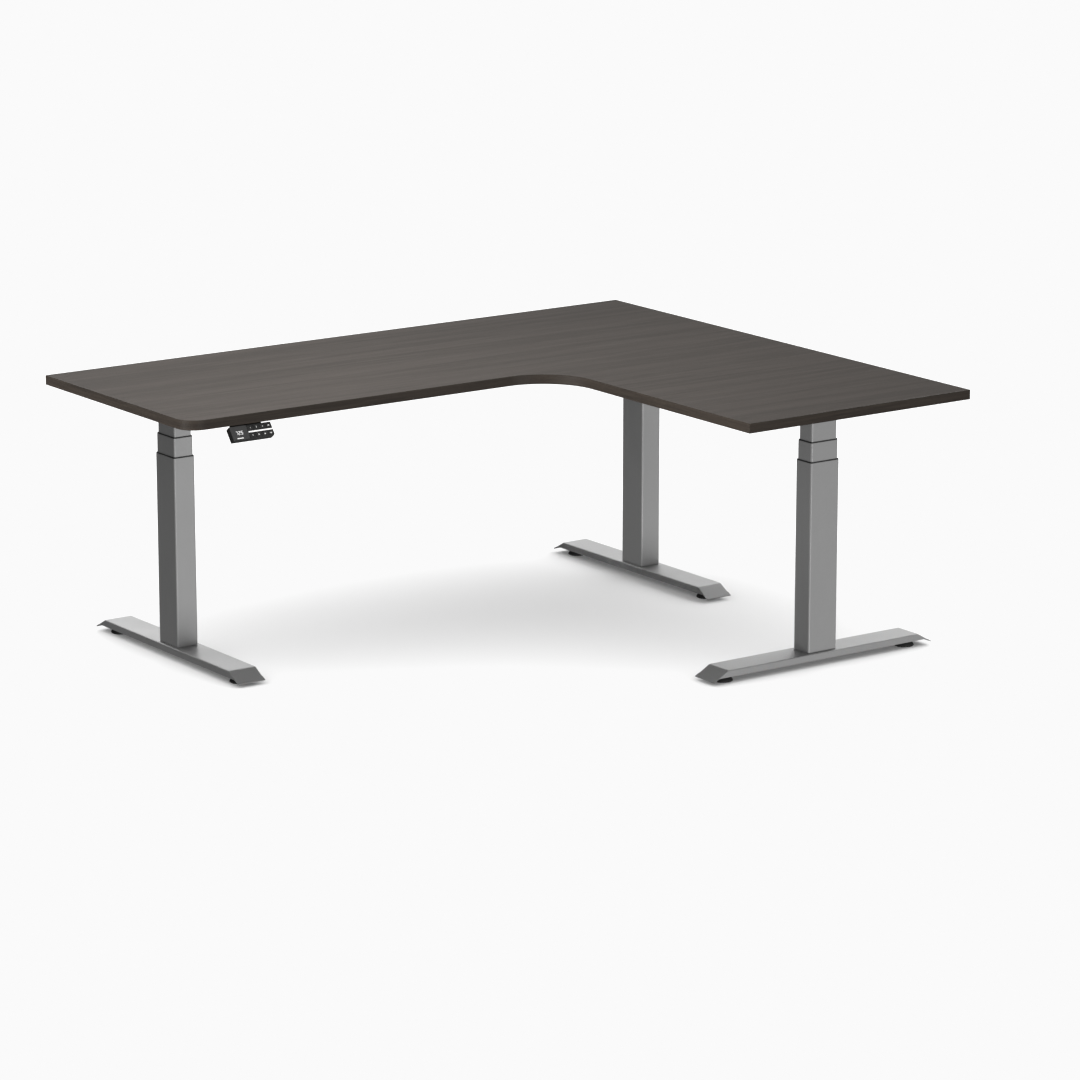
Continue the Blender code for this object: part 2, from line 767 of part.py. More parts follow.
class Desk:
    """Adds each piece to the desk's collection, on its frame and in its finish."""

    def __init__(self):
        self.collection = new_collection("standing_desk")

    def frame(self, name, location, rotation=(0.0, 0.0, 0.0)):
        """An empty that pieces are placed on."""
        empty = bpy.data.objects.new(name, None)
        empty.location = location
        empty.rotation_euler = rotation
        self.collection.objects.link(empty)
        return empty

    def add(self, node, mesh, kind, parent=None, location=(0.0, 0.0, 0.0), rotation=(0.0, 0.0, 0.0)):
        """One sub-part, whose mesh may be shared with its twins."""
        obj = bpy.data.objects.new(node, mesh)
        obj.location = location
        obj.rotation_euler = rotation
        obj.parent = parent
        self.collection.objects.link(obj)
        if not mesh.materials:
            mesh.materials.append(None)
        obj.material_slots[0].link = "OBJECT"
        obj.material_slots[0].material = finish(node, kind)
        return obj


def add_legs(desk):
    """Three alike legs, each on its own frame, with their tubes, screws and drive units."""
    pieces = (
        ("foot", foot_mesh(), "silver_powder_coat"),
        ("outer_tube", prism("outer_tube", tube_outlines(0), FOOT_TOP + GAP, rim(OUTER_TOP)),
         "silver_powder_coat"),
        ("lower_glide", collar_mesh("lower_glide", 0, OUTER_TOP), "black_nylon"),
        ("nut_post", nut_post_mesh(), "machined_steel"),
        ("middle_tube", middle_tube_mesh(), "silver_powder_coat"),
        ("upper_glide", collar_mesh("upper_glide", 1, MIDDLE_TOP), "black_nylon"),
        ("lead_screw", lead_screw_mesh(), "machined_steel"),
        ("inner_tube", inner_tube_mesh(), "silver_powder_coat"),
        ("drive_rod", drive_rod_mesh(), "machined_steel"),
        ("gearbox", gearbox_mesh(), "black_enamel"),
        ("motor", motor_mesh(), "black_enamel"),
        ("bracket", bracket_mesh(), "silver_powder_coat"),
    )
    pad = levelling_foot_mesh()
    for leg, (x, y), turn in LEGS:
        frame = desk.frame(f"{leg}_leg_frame", (x, y, 0.0), (0.0, 0.0, turn))
        for piece, mesh, kind in pieces:
            desk.add(f"{piece}_{leg}", mesh, kind, frame)
        for place, side in (("a", -1), ("b", 1)):
            where = (0.0, side * PAD_SPACING / 2, 0.0)
            desk.add(f"levelling_foot_{leg}_{place}", pad, "black_rubber", frame, where)


def add_rails(desk):
    """Two rails between the brackets of the main wing, and two along the return."""
    half = bracket_width() / 2 + GAP
    reach = DESK_LENGTH / 2 - LEG_INSET - half
    main = rail_mesh(-reach, reach)
    for name, side in (("rail_main_front", -1), ("rail_main_rear", 1)):
        desk.add(name, main, "silver_powder_coat", None, (0.0, MAIN_Y + side * RAIL_SPACING / 2, 0.0))
    start = LEG_INSET - DESK_WIDTH / 2 + half
    end = MAIN_Y - RAIL_SPACING / 2 - RAIL_WIDTH / 2 - GAP
    along = rail_mesh(start, end)
    for name, side in (("rail_return_left", -1), ("rail_return_right", 1)):
        place = (RETURN_X + side * RAIL_SPACING / 2, 0.0, 0.0)
        desk.add(name, along, "silver_powder_coat", None, place, (0.0, 0.0, math.pi / 2))


def add_keypad(desk):
    """The keypad's housing, window, strip and keys, and the plate that it hangs on."""
    turn = (math.pi / 2 - KEYPAD_TILT, 0.0, 0.0)
    frame = desk.frame("keypad_frame", keypad_middle(), turn)
    desk.add("keypad_housing", keypad_housing_mesh(), "black_abs", frame)
    desk.add("keypad_window", keypad_window_mesh(), "grey_window", frame)
    desk.add("keypad_strip", keypad_strip_mesh(), "white_acrylic", frame)
    cap = key_mesh()
    for row, names in enumerate(KEY_NAMES):
        for column, name in enumerate(names):
            desk.add(name, cap, "black_abs", frame, (*key_place(row, column), 0.0))
    place = (keypad_top_edge().x, 0.0, 0.0)
    desk.add("keypad_hanger", keypad_hanger_mesh(), "black_enamel", None, place)


def main():
    """Build the whole desk."""
    clear_scene()
    desk = Desk()
    desk.add("desktop", desktop_mesh(), "dark_oak_laminate")
    add_legs(desk)
    add_rails(desk)
    box_y = MAIN_Y + RAIL_SPACING / 2 + RAIL_WIDTH / 2 + BOX_BEHIND_RAIL
    desk.add("control_box", control_box_mesh(), "black_abs", None, (-BOX_LEFT_OF_CENTRE, box_y, 0.0))
    add_keypad(desk)


main()
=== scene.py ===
"""Looks of an L-shaped electric standing desk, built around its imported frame.

Units are metres and +Z is up. Places come from the frame's own boxes, joints and bodies. Each
sub-assembly is a class that holds its sizes, builds its meshes where they belong, dresses them in
a finish and hangs them on the body that carries them.
"""

import json
import logging
import math
from collections.abc import Callable, Sequence
from dataclasses import dataclass, field
from enum import Enum
from typing import Any

import bmesh
import bpy
from mathutils import Matrix, Vector

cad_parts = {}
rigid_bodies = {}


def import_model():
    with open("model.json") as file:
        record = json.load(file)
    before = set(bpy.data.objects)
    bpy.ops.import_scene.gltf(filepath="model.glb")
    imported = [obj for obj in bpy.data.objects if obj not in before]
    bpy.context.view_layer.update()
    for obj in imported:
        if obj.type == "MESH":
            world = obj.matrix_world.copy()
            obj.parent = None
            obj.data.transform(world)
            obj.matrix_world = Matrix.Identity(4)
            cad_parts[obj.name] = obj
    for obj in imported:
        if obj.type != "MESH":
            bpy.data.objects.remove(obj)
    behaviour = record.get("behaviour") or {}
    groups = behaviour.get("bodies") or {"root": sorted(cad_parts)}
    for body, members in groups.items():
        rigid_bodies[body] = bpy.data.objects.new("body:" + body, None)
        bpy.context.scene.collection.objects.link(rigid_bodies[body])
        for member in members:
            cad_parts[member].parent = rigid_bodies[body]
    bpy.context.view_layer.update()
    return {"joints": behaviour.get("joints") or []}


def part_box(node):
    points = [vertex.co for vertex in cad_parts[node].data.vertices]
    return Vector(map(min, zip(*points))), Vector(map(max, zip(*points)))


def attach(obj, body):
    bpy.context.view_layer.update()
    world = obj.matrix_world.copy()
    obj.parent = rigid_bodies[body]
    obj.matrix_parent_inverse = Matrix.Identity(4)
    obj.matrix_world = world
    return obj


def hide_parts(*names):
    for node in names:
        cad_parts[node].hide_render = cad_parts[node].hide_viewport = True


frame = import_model()

LOG = logging.getLogger("standing_desk")
HAIRLINE = 0.0003
SMOOTH_ANGLE = math.radians(32)

Outline = list[tuple[float, float]]


class Coordinates(Enum):
    """What a pattern is laid out on."""

    OBJECT = "Object"
    SURFACE = "UV"


class Axis(Enum):
    """The way a straight extrusion runs, as the matrix that lays a Z extrusion along it."""

    X = Matrix(((0, 0, 1, 0), (1, 0, 0, 0), (0, 1, 0, 0), (0, 0, 0, 1)))
    Y = Matrix(((0, 1, 0, 0), (0, 0, 1, 0), (1, 0, 0, 0), (0, 0, 0, 1)))
    Z = Matrix.Identity(4)


class Icon(Enum):
    """The mark printed on a key."""

    ONE = "1"
    TWO = "2"
    THREE = "3"
    FOUR = "4"
    SAVE = "save"
    LOCK = "lock"
    UP = "up"
    DOWN = "down"


def linear(code: str) -> tuple[float, float, float, float]:
    """Turn an sRGB hex colour into a linear one.

    Args:
        code: The colour, such as "#808080".

    Returns:
        Red, green, blue and an alpha of 1.
    """
    channels = (int(code[i : i + 2], 16) / 255 for i in (1, 3, 5))
    return (*(c / 12.92 if c <= 0.04045 else ((c + 0.055) / 1.055) ** 2.4 for c in channels), 1.0)


def add_node(tree: bpy.types.NodeTree, kind: str, sockets: dict | None = None, **settings: Any) -> bpy.types.Node:
    """Add a node with its settings and its links.

    Args:
        tree: The tree that the node goes in.
        kind: The node's type name.
        sockets: What each input takes, by name or index. An output socket is linked to it.
        settings: The node's own properties.

    Returns:
        The new node.
    """
    node = tree.nodes.new(kind)
    for name, value in settings.items():
        setattr(node, name, value)
    for key, value in (sockets or {}).items():
        if isinstance(value, bpy.types.NodeSocket):
            tree.links.new(value, node.inputs[key])
        else:
            node.inputs[key].default_value = value
    return node


# Finishes ------------------------------------------------------------------------------------


@dataclass(frozen=True)
class Finish:
    """What a surface is made of, and how it was made.

    Attributes:
        title: The material's own name.
        slot: The record's slot that the finish stands for; not used.
        colour: The main colour as an sRGB hex code.
        roughness: The mean roughness.
        metallic: The metallic share.
        ior: The refractive index of a surface that isn't bare metal.
        coat: The weight of a clear outer layer.
        specular: The share of the gloss that the surface keeps, 0.5 for all of it.
        coordinates: What the pattern is laid out on.
    """

    title: str
    slot: str
    colour: str
    roughness: float
    metallic: float = 0.0
    ior: float = 1.45
    coat: float = 0.0
    specular: float = 0.5
    coordinates: Coordinates = Coordinates.OBJECT

    def material(self) -> bpy.types.Material:
        """Find this finish's material, or make it.

        Returns:
            The one material that every piece in this finish shares.
        """
        known = bpy.data.materials.get(self.title)
        if known is not None:
            return known
        material = bpy.data.materials.new(self.title)
        material.use_nodes = True
        tree = material.node_tree
        shader = tree.nodes["Principled BSDF"]
        shader.inputs["Base Color"].default_value = linear(self.colour)
        shader.inputs["Roughness"].default_value = self.roughness
        shader.inputs["Metallic"].default_value = self.metallic
        if self.metallic < 1:
            shader.inputs["IOR"].default_value = self.ior
        shader.inputs["Specular IOR Level"].default_value = self.specular
        shader.inputs["Coat Weight"].default_value = self.coat
        shader.inputs["Coat Roughness"].default_value = 0.06
        place = add_node(tree, "ShaderNodeTexCoord").outputs[self.coordinates.value]
        self.dress(tree, shader, place)
        return material

    def dress(self, tree: bpy.types.NodeTree, shader: bpy.types.Node, place: bpy.types.NodeSocket) -> None:
        """Add the surface's own detail; a plain finish has none."""

    def speckle(
        self,
        tree: bpy.types.NodeTree,
        place: bpy.types.NodeSocket,
        size_mm: tuple[float, float, float],
        detail: float = 2.0,
        distortion: float = 0.0,
        offset: float = 0.0,
    ) -> bpy.types.NodeSocket:
        """Noise whose features have a real size.

        Args:
            tree: The material's tree.
            place: The coordinates that it reads.
            size_mm: The feature's length along each axis, in millimetres.
            detail: The number of finer octaves.
            distortion: How far the pattern is bent.
            offset: A shift that makes two noises differ.

        Returns:
            The noise's value, around 0.5.
        """
        scaled = add_node(
            tree,
            "ShaderNodeMapping",
            {"Vector": place, "Location": (offset,) * 3, "Scale": tuple(1000 / size for size in size_mm)},
        ).outputs[0]
        noise = add_node(
            tree, "ShaderNodeTexNoise", {"Vector": scaled, "Scale": 1.0, "Detail": detail, "Distortion": distortion}
        )
        return noise.outputs[0]

    def graded(
        self, tree: bpy.types.NodeTree, value: bpy.types.NodeSocket, low: float, high: float, start: float, end: float
    ) -> bpy.types.NodeSocket:
        """Turn a value's span low to high into start to end, held at both ends.

        Returns:
            The new value.
        """
        span = {"Value": value, "From Min": low, "From Max": high, "To Min": start, "To Max": end}
        return add_node(tree, "ShaderNodeMapRange", span).outputs[0]

    def mixed(self, tree: bpy.types.NodeTree, share: Any, first: Any, second: Any) -> bpy.types.NodeSocket:
        """Mix two colours.

        Returns:
            The mixed colour.
        """
        return add_node(tree, "ShaderNodeMix", {0: share, 6: first, 7: second}, data_type="RGBA").outputs[2]

    def embossed(
        self, tree: bpy.types.NodeTree, height: bpy.types.NodeSocket, depth_mm: float, strength: float, under: Any = None
    ) -> bpy.types.NodeSocket:
        """A bump of a real depth, on top of the one under it.

        Returns:
            The bent normal.
        """
        sockets = {"Strength": strength, "Distance": depth_mm / 1000, "Height": height}
        if under is not None:
            sockets["Normal"] = under
        return add_node(tree, "ShaderNodeBump", sockets).outputs[0]


@dataclass(frozen=True)
class OakDecor(Finish):
    """Melamine-faced oak decor: printed paper pressed under a hard resin with an embossed pore.

    The print gives long smoky streaks along the board with finer fibres in them, and the press
    plate leaves short shallow pores that break up the satin sheen.

    Attributes:
        dark: The colour of the smoky streaks.
        light: The colour of the pale fibres.
        streak_mm: A streak's length and width.
        fibre_mm: A fibre's length and width.
        pore_mm: A pore's length and width, twice the real width so that it shows.
    """

    dark: str = "#46413D"
    light: str = "#5C5651"
    streak_mm: tuple[float, float] = (900.0, 42.0)
    fibre_mm: tuple[float, float] = (160.0, 3.4)
    pore_mm: tuple[float, float] = (22.0, 1.1)

    def dress(self, tree: bpy.types.NodeTree, shader: bpy.types.Node, place: bpy.types.NodeSocket) -> None:
        """Streaks, fibres and pores in the colour, and the pores in the relief."""
        along, across = self.streak_mm
        streak = self.speckle(tree, place, (along, across, across), 3.0, 0.9)
        figure = self.speckle(tree, place, (along * 0.35, across * 0.3, across * 0.3), 4.0, 1.4, 7.0)
        along, across = self.fibre_mm
        fibre = self.speckle(tree, place, (along, across, across), 4.0, 0.2, 3.0)
        along, across = self.pore_mm
        pore = self.speckle(tree, place, (along, across, across), 1.0, 0.0, 11.0)
        colour = self.mixed(tree, self.graded(tree, streak, 0.36, 0.66, 0.0, 1.0), linear(self.dark), linear(self.colour))
        colour = self.mixed(tree, self.graded(tree, figure, 0.50, 0.78, 0.0, 0.60), colour, linear(self.light))
        colour = self.mixed(tree, self.graded(tree, fibre, 0.42, 0.70, 0.0, 0.45), colour, linear(self.light))
        pit = self.graded(tree, pore, 0.30, 0.40, 1.0, 0.0)
        faint = self.graded(tree, pit, 0.0, 1.0, 0.0, 0.55)
        shade = self.mixed(tree, faint, colour, linear(self.dark))
        tree.links.new(shade, shader.inputs["Base Color"])
        sheen = self.graded(tree, fibre, 0.3, 0.7, self.roughness - 0.04, self.roughness + 0.06)
        tree.links.new(sheen, shader.inputs["Roughness"])
        relief = self.embossed(tree, self.graded(tree, pore, 0.28, 0.46, 0.0, 1.0), 0.08, 0.5)
        relief = self.embossed(tree, fibre, 0.05, 0.35, relief)
        tree.links.new(relief, shader.inputs["Normal"])


@dataclass(frozen=True)
class PowderCoat(Finish):
    """Powder-coated sheet steel: a baked polyester film with aluminium flake in it.

    The film flows into a faint orange peel, the flake gives a satin sheen with a fine sparkle, and
    handling leaves slightly duller patches.

    Attributes:
        flake: The colour of the bright flake.
        peel_mm: The orange peel's wavelength, about twice the real one so that it shows.
        grit_mm: The flake's size, coarser than the real 0.05 so that it shows close up.
    """

    flake: str = "#D2D2D2"
    peel_mm: float = 3.2
    grit_mm: float = 0.45

    def dress(self, tree: bpy.types.NodeTree, shader: bpy.types.Node, place: bpy.types.NodeSocket) -> None:
        """Flake in the colour, duller patches in the sheen and orange peel in the relief."""
        grit = self.speckle(tree, place, (self.grit_mm,) * 3, 1.0)
        drift = self.speckle(tree, place, (170.0, 170.0, 260.0), 3.0, 0.4, 5.0)
        base = linear(self.colour)
        dull = (*(channel * 0.93 for channel in base[:3]), 1.0)
        colour = self.mixed(tree, self.graded(tree, drift, 0.35, 0.65, 0.0, 1.0), base, dull)
        colour = self.mixed(tree, self.graded(tree, grit, 0.62, 0.78, 0.0, 0.5), colour, linear(self.flake))
        tree.links.new(colour, shader.inputs["Base Color"])
        sheen = self.graded(tree, drift, 0.3, 0.7, self.roughness - 0.03, self.roughness + 0.05)
        tree.links.new(sheen, shader.inputs["Roughness"])
        peel = self.speckle(tree, place, (self.peel_mm,) * 3, 1.0, 0.0, 9.0)
        relief = self.embossed(tree, peel, 0.03, 0.35)
        relief = self.embossed(tree, grit, 0.012, 0.30, relief)
        tree.links.new(relief, shader.inputs["Normal"])


@dataclass(frozen=True)
class Moulded(Finish):
    """Injection-moulded plastic or rubber with the grain of a spark-eroded tool.

    The grain scatters the highlight into a soft sheen, and the melt's flow leaves faint lighter
    clouds.

    Attributes:
        grain_mm: The tool grain's size.
        grain_depth_mm: The tool grain's depth.
        bloom: How much lighter the clouds are than the rest.
    """

    grain_mm: float = 0.6
    grain_depth_mm: float = 0.03
    bloom: float = 0.25

    def dress(self, tree: bpy.types.NodeTree, shader: bpy.types.Node, place: bpy.types.NodeSocket) -> None:
        """Clouds in the colour and the sheen, and the tool's grain in the relief."""
        cloud = self.speckle(tree, place, (24.0, 24.0, 24.0), 4.0, 0.5, 2.0)
        grain = self.speckle(tree, place, (self.grain_mm,) * 3, 2.0)
        base = linear(self.colour)
        pale = (*(min(1.0, channel * (1 + self.bloom) + 0.002) for channel in base[:3]), 1.0)
        colour = self.mixed(tree, self.graded(tree, cloud, 0.4, 0.75, 0.0, 1.0), base, pale)
        tree.links.new(colour, shader.inputs["Base Color"])
        sheen = self.graded(tree, cloud, 0.3, 0.7, self.roughness - 0.05, self.roughness + 0.07)
        tree.links.new(sheen, shader.inputs["Roughness"])
        tree.links.new(self.embossed(tree, grain, self.grain_depth_mm, 0.6), shader.inputs["Normal"])


@dataclass(frozen=True)
class WorkedSteel(Finish):
    """Steel with a machined, rolled or plated skin.

    Tool marks run round the part's axis, and the plating's tone drifts a little from place to
    place.

    Attributes:
        tint: The colour that the tone drifts to.
        mark_mm: A tool mark's size along X, Y and Z.
        mark_depth_mm: A tool mark's depth.
    """

    tint: str = "#8E8F94"
    mark_mm: tuple[float, float, float] = (30.0, 30.0, 0.35)
    mark_depth_mm: float = 0.02

    def dress(self, tree: bpy.types.NodeTree, shader: bpy.types.Node, place: bpy.types.NodeSocket) -> None:
        """Tone in the colour, tool marks in the sheen and the relief."""
        drift = self.speckle(tree, place, (14.0, 14.0, 14.0), 4.0, 0.6)
        marks = self.speckle(tree, place, self.mark_mm, 2.0, 0.0, 4.0)
        colour = self.mixed(tree, self.graded(tree, drift, 0.35, 0.7, 0.0, 1.0), linear(self.colour), linear(self.tint))
        tree.links.new(colour, shader.inputs["Base Color"])
        sheen = self.graded(tree, marks, 0.3, 0.7, self.roughness - 0.08, self.roughness + 0.10)
        tree.links.new(sheen, shader.inputs["Roughness"])
        tree.links.new(self.embossed(tree, marks, self.mark_depth_mm, 0.5), shader.inputs["Normal"])


@dataclass(frozen=True)
class Printed(Finish):
    """Screen-printed white ink, a little thinner where the mesh lifted off.

    Attributes:
        thin: The colour where the ink is thin.
        glow: The strength of its glow: the light behind a lit segment, and on ink and opal acrylic a painted glow that
            keeps them bright white.
    """

    thin: str = "#C9C9C6"
    glow: float = 0.0

    def dress(self, tree: bpy.types.NodeTree, shader: bpy.types.Node, place: bpy.types.NodeSocket) -> None:
        """Ink density in the colour and a mesh-fine relief."""
        density = self.speckle(tree, place, (0.5, 0.5, 0.5), 3.0)
        colour = self.mixed(tree, self.graded(tree, density, 0.3, 0.45, 1.0, 0.0), linear(self.colour), linear(self.thin))
        tree.links.new(colour, shader.inputs["Base Color"])
        # The glow: light from behind on a lit segment; on ink and opal acrylic a painted glow that keeps them bright
        # white.
        shader.inputs["Emission Color"].default_value = linear(self.colour)
        shader.inputs["Emission Strength"].default_value = self.glow
        tree.links.new(self.embossed(tree, density, 0.01, 0.4), shader.inputs["Normal"])


# Dark oak decor on the board's two faces: smoky brown-grey, satin, and long quiet streaks.
BOARD_DECOR = OakDecor("melamine faced board, dark oak decor", "dark_laminate", "#504A46", 0.70, ior=1.5, specular=0.08)
# Edge band: the same decor printed on extruded ABS and glued on, darker and a touch smoother.
EDGE_DECOR = OakDecor(
    "extruded edge band, dark oak print", "dark_laminate", "#322C27", 0.55, ior=1.5, specular=0.12,
    coordinates=Coordinates.SURFACE, dark="#27221E", light="#3E3730",
    streak_mm=(420.0, 16.0), fibre_mm=(120.0, 1.6), pore_mm=(18.0, 0.8),
)
# Silver-grey polyester powder: satin, with bright flake that keeps horizontal faces pale.
SILVER_POWDER = PowderCoat("silver grey powder coat on steel", "silver_powder_coat", "#929292", 0.37, 0.12, ior=1.5)
# Black powder on the small brackets: dull and a little rough.
BLACK_POWDER = PowderCoat(
    "black powder coat on steel", "black_enamel", "#1B1B1C", 0.52, 0.0, ior=1.5, flake="#3A3A3C", grit_mm=0.6
)
# Black e-coat on die-cast zinc: semi-gloss over the casting's fine pitting.
CAST_COAT = Moulded(
    "black e-coat on die-cast zinc", "black_enamel", "#202022", 0.42, 0.25, grain_mm=1.0, grain_depth_mm=0.05, bloom=0.5
)
# Black lacquer on a rolled motor can: glossier, with the drawing marks faint under it.
MOTOR_LACQUER = WorkedSteel(
    "black lacquer on drawn steel", "black_enamel", "#1E1E20", 0.34, 0.45, ior=1.5, tint="#29292C",
    mark_mm=(0.5, 40.0, 40.0),
)
# Glass-filled nylon glides: matt black with a dry bloom.
NYLON = Moulded("glass-filled black nylon", "black_nylon", "#1A1A1A", 0.58, grain_mm=0.5)
# ABS housings: fine spark-eroded grain, an even soft black.
ABS = Moulded("black moulded ABS", "black_abs", "#242424", 0.50, grain_mm=0.55, grain_depth_mm=0.04)
# Key caps: the same ABS polished smoother where fingers touch it.
KEY_ABS = Moulded("black moulded ABS, fine matt", "black_key", "#2C2C2C", 0.40, grain_mm=0.4, grain_depth_mm=0.02)
# Display window: smoked acrylic with a hard coat, glossy and mid grey in room light.
SMOKED_ACRYLIC = Moulded(
    "smoked acrylic with hard coat", "grey_window", "#464646", 0.30, ior=1.49, coat=0.5, grain_mm=6.0,
    grain_depth_mm=0.004, bloom=0.06,
)
# Feeler pads: soft rubber that takes up dust and looks dry.
RUBBER = Moulded("black thermoplastic rubber", "black_rubber", "#171717", 0.72, grain_mm=0.9, bloom=0.6)
# Opal acrylic strip: milky white with a soft gloss, and a painted glow that keeps it bright white.
OPAL_ACRYLIC = Printed("opal white acrylic", "white_acrylic", "#F4F4F2", 0.28, ior=1.49, thin="#ECECE9", glow=0.8)
# White pad-printed ink on the keys and the window, with a painted glow that keeps it bright white.
WHITE_INK = Printed("white pad printing ink", "white_acrylic", "#F0F0EE", 0.45, glow=0.55)
# White LED segments behind the window.
LED_SEGMENT = Printed("lit white segment", "white_acrylic", "#FFFFFF", 0.40, thin="#F2F2F2", glow=0.9)
# Ground and turned steel: bright, with the turning marks round the axis.
TURNED_STEEL = WorkedSteel("turned and ground steel", "machined_steel", "#B9BABD", 0.30, 1.0)
# Zinc-plated fasteners: bright with a faint blue-yellow drift.
ZINC_PLATE = WorkedSteel("zinc plated steel", "machined_steel", "#B4B6BA", 0.34, 1.0, tint="#A5A397", mark_mm=(3.0, 3.0, 0.4))
# Bronze nut: warm, with dull oil-darkened patches.
BRONZE = WorkedSteel("cast tin bronze", "machined_steel", "#B08D57", 0.36, 1.0, tint="#7E6238", mark_mm=(8.0, 8.0, 0.5))
# Brass contacts in the sockets.
BRASS = WorkedSteel("drawn brass", "machined_steel", "#C9A95A", 0.30, 1.0, tint="#A98C45", mark_mm=(4.0, 0.3, 4.0))


# Outlines and meshes -------------------------------------------------------------------------


def arc(centre: tuple[float, float], radius: float, start: float, end: float, steps: int) -> Outline:
    """Points along an arc.

    Args:
        centre: The arc's centre.
        radius: Its radius.
        start: The first angle in degrees.
        end: The last angle in degrees.
        steps: The number of chords.

    Returns:
        steps + 1 points.
    """
    turns = [math.radians(start + (end - start) * i / steps) for i in range(steps + 1)]
    return [(centre[0] + radius * math.cos(t), centre[1] + radius * math.sin(t)) for t in turns]


def round_rectangle(width: float, height: float, radius: float, steps: int = 6) -> Outline:
    """A rectangle about the origin whose corners are arcs, anticlockwise."""
    x, y = width / 2 - radius, height / 2 - radius
    corners = ((1, 1), (-1, 1), (-1, -1), (1, -1))
    return [p for i, (a, b) in enumerate(corners) for p in arc((a * x, b * y), radius, 90 * i, 90 * i + 90, steps)]


def shifted(outline: Outline, x: float = 0.0, y: float = 0.0) -> Outline:
    """The outline moved in its plane."""
    return [(a + x, b + y) for a, b in outline]


def object_for(name: str, data: Any) -> bpy.types.Object:
    """A new object of the scene that holds this data."""
    obj = bpy.data.objects.new(name, data)
    bpy.context.scene.collection.objects.link(obj)
    return obj


def baked(obj: bpy.types.Object, name: str) -> bpy.types.Mesh:
    """Turn an object into a plain mesh, modifiers and all, and remove the object.

    Args:
        obj: A mesh, curve or text object.
        name: The new mesh's name.

    Returns:
        The evaluated mesh.
    """
    bpy.context.view_layer.update()
    mesh = bpy.data.meshes.new_from_object(obj.evaluated_get(bpy.context.evaluated_depsgraph_get()))
    mesh.name = name
    bpy.data.objects.remove(obj, do_unlink=True)
    return mesh


def shaped(name: str, shape: Callable[[bmesh.types.BMesh], None], mesh: bpy.types.Mesh | None = None) -> bpy.types.Mesh:
    """Work on a mesh in bmesh.

    Args:
        name: The mesh's name, where it is new.
        shape: What is done to it.
        mesh: The mesh to change, or None for an empty one.

    Returns:
        The mesh.
    """
    bm = bmesh.new()
    if mesh is not None:
        bm.from_mesh(mesh)
    shape(bm)
    made = mesh or bpy.data.meshes.new(name)
    bm.to_mesh(made)
    bm.free()
    return made


def moved(mesh: bpy.types.Mesh, matrix: Matrix) -> bpy.types.Mesh:
    """The mesh moved by a matrix."""
    mesh.transform(matrix)
    return mesh


def at(mesh: bpy.types.Mesh, x: float = 0.0, y: float = 0.0, z: float = 0.0) -> bpy.types.Mesh:
    """The mesh moved along the axes."""
    return moved(mesh, Matrix.Translation((x, y, z)))


def joined(name: str, meshes: Sequence[bpy.types.Mesh]) -> bpy.types.Mesh:
    """Several meshes put into one."""

    def gather(bm: bmesh.types.BMesh) -> None:
        """Read every mesh in."""
        for mesh in meshes:
            bm.from_mesh(mesh)

    return shaped(name, gather)


def modified(mesh: bpy.types.Mesh, kind: str, **settings: Any) -> bpy.types.Mesh:
    """The mesh with one modifier applied.

    Args:
        mesh: The mesh to start from.
        kind: The modifier's type.
        settings: The modifier's own properties.

    Returns:
        A new mesh of the same name.
    """
    obj = object_for(f"{mesh.name}_work", mesh)
    modifier = obj.modifiers.new(kind.title(), kind)
    for name, value in settings.items():
        setattr(modifier, name, value)
    return baked(obj, mesh.name)


def eased(mesh: bpy.types.Mesh, width: float, segments: int = 3, angle: float = 35.0) -> bpy.types.Mesh:
    """The mesh with its sharp edges rounded."""
    limit = {"limit_method": "ANGLE", "angle_limit": math.radians(angle)}
    return modified(mesh, "BEVEL", width=width, segments=segments, **limit)


def cut(mesh: bpy.types.Mesh, tools: Sequence[bpy.types.Mesh]) -> bpy.types.Mesh:
    """The mesh with each of the tools cut out of it."""
    name = mesh.name
    for tool in tools:
        cutter = object_for(f"{name}_cutter", tool)
        mesh = modified(mesh, "BOOLEAN", operation="DIFFERENCE", solver="EXACT", object=cutter)
        bpy.data.objects.remove(cutter, do_unlink=True)
    mesh.name = name
    return mesh


def prism(name: str, outlines: Sequence[Outline], bottom: float, top: float, arris: float = 0.0) -> bpy.types.Mesh:
    """A flat outline made thick, with its holes after its first outline.

    Args:
        name: The mesh's name.
        outlines: The outer outline, then the holes, all anticlockwise.
        bottom: The lower face's height.
        top: The upper face's height.
        arris: The radius of its rounded edges.

    Returns:
        A closed mesh.
    """
    curve = bpy.data.curves.new(name, "CURVE")
    curve.dimensions = "2D"
    curve.fill_mode = "BOTH"
    curve.extrude = (top - bottom) / 2 - arris
    curve.bevel_depth = arris
    curve.bevel_resolution = 2
    curve.offset = -arris
    for i, points in enumerate(outlines):
        spline = curve.splines.new("POLY")
        spline.points.add(len(points) - 1)
        for point, (x, y) in zip(spline.points, reversed(points) if i else points):
            point.co = (x, y, 0.0, 1.0)
        spline.use_cyclic_u = True
    mesh = baked(object_for(name, curve), name)
    shaped(name, lambda bm: bmesh.ops.remove_doubles(bm, verts=bm.verts, dist=1e-6), mesh)
    return at(mesh, z=(top + bottom) / 2)


def block(name: str, low: Sequence[float], high: Sequence[float], arris: float = 0.0, segments: int = 3) -> bpy.types.Mesh:
    """A box between two corners, with rounded edges if it has an arris."""
    size = [b - a for a, b in zip(low, high)]
    middle = [(a + b) / 2 for a, b in zip(low, high)]
    place = Matrix.Translation(middle) @ Matrix.Diagonal((*size, 1.0))
    mesh = shaped(name, lambda bm: bmesh.ops.create_cube(bm, size=1.0, matrix=place))
    return eased(mesh, arris, segments) if arris else mesh


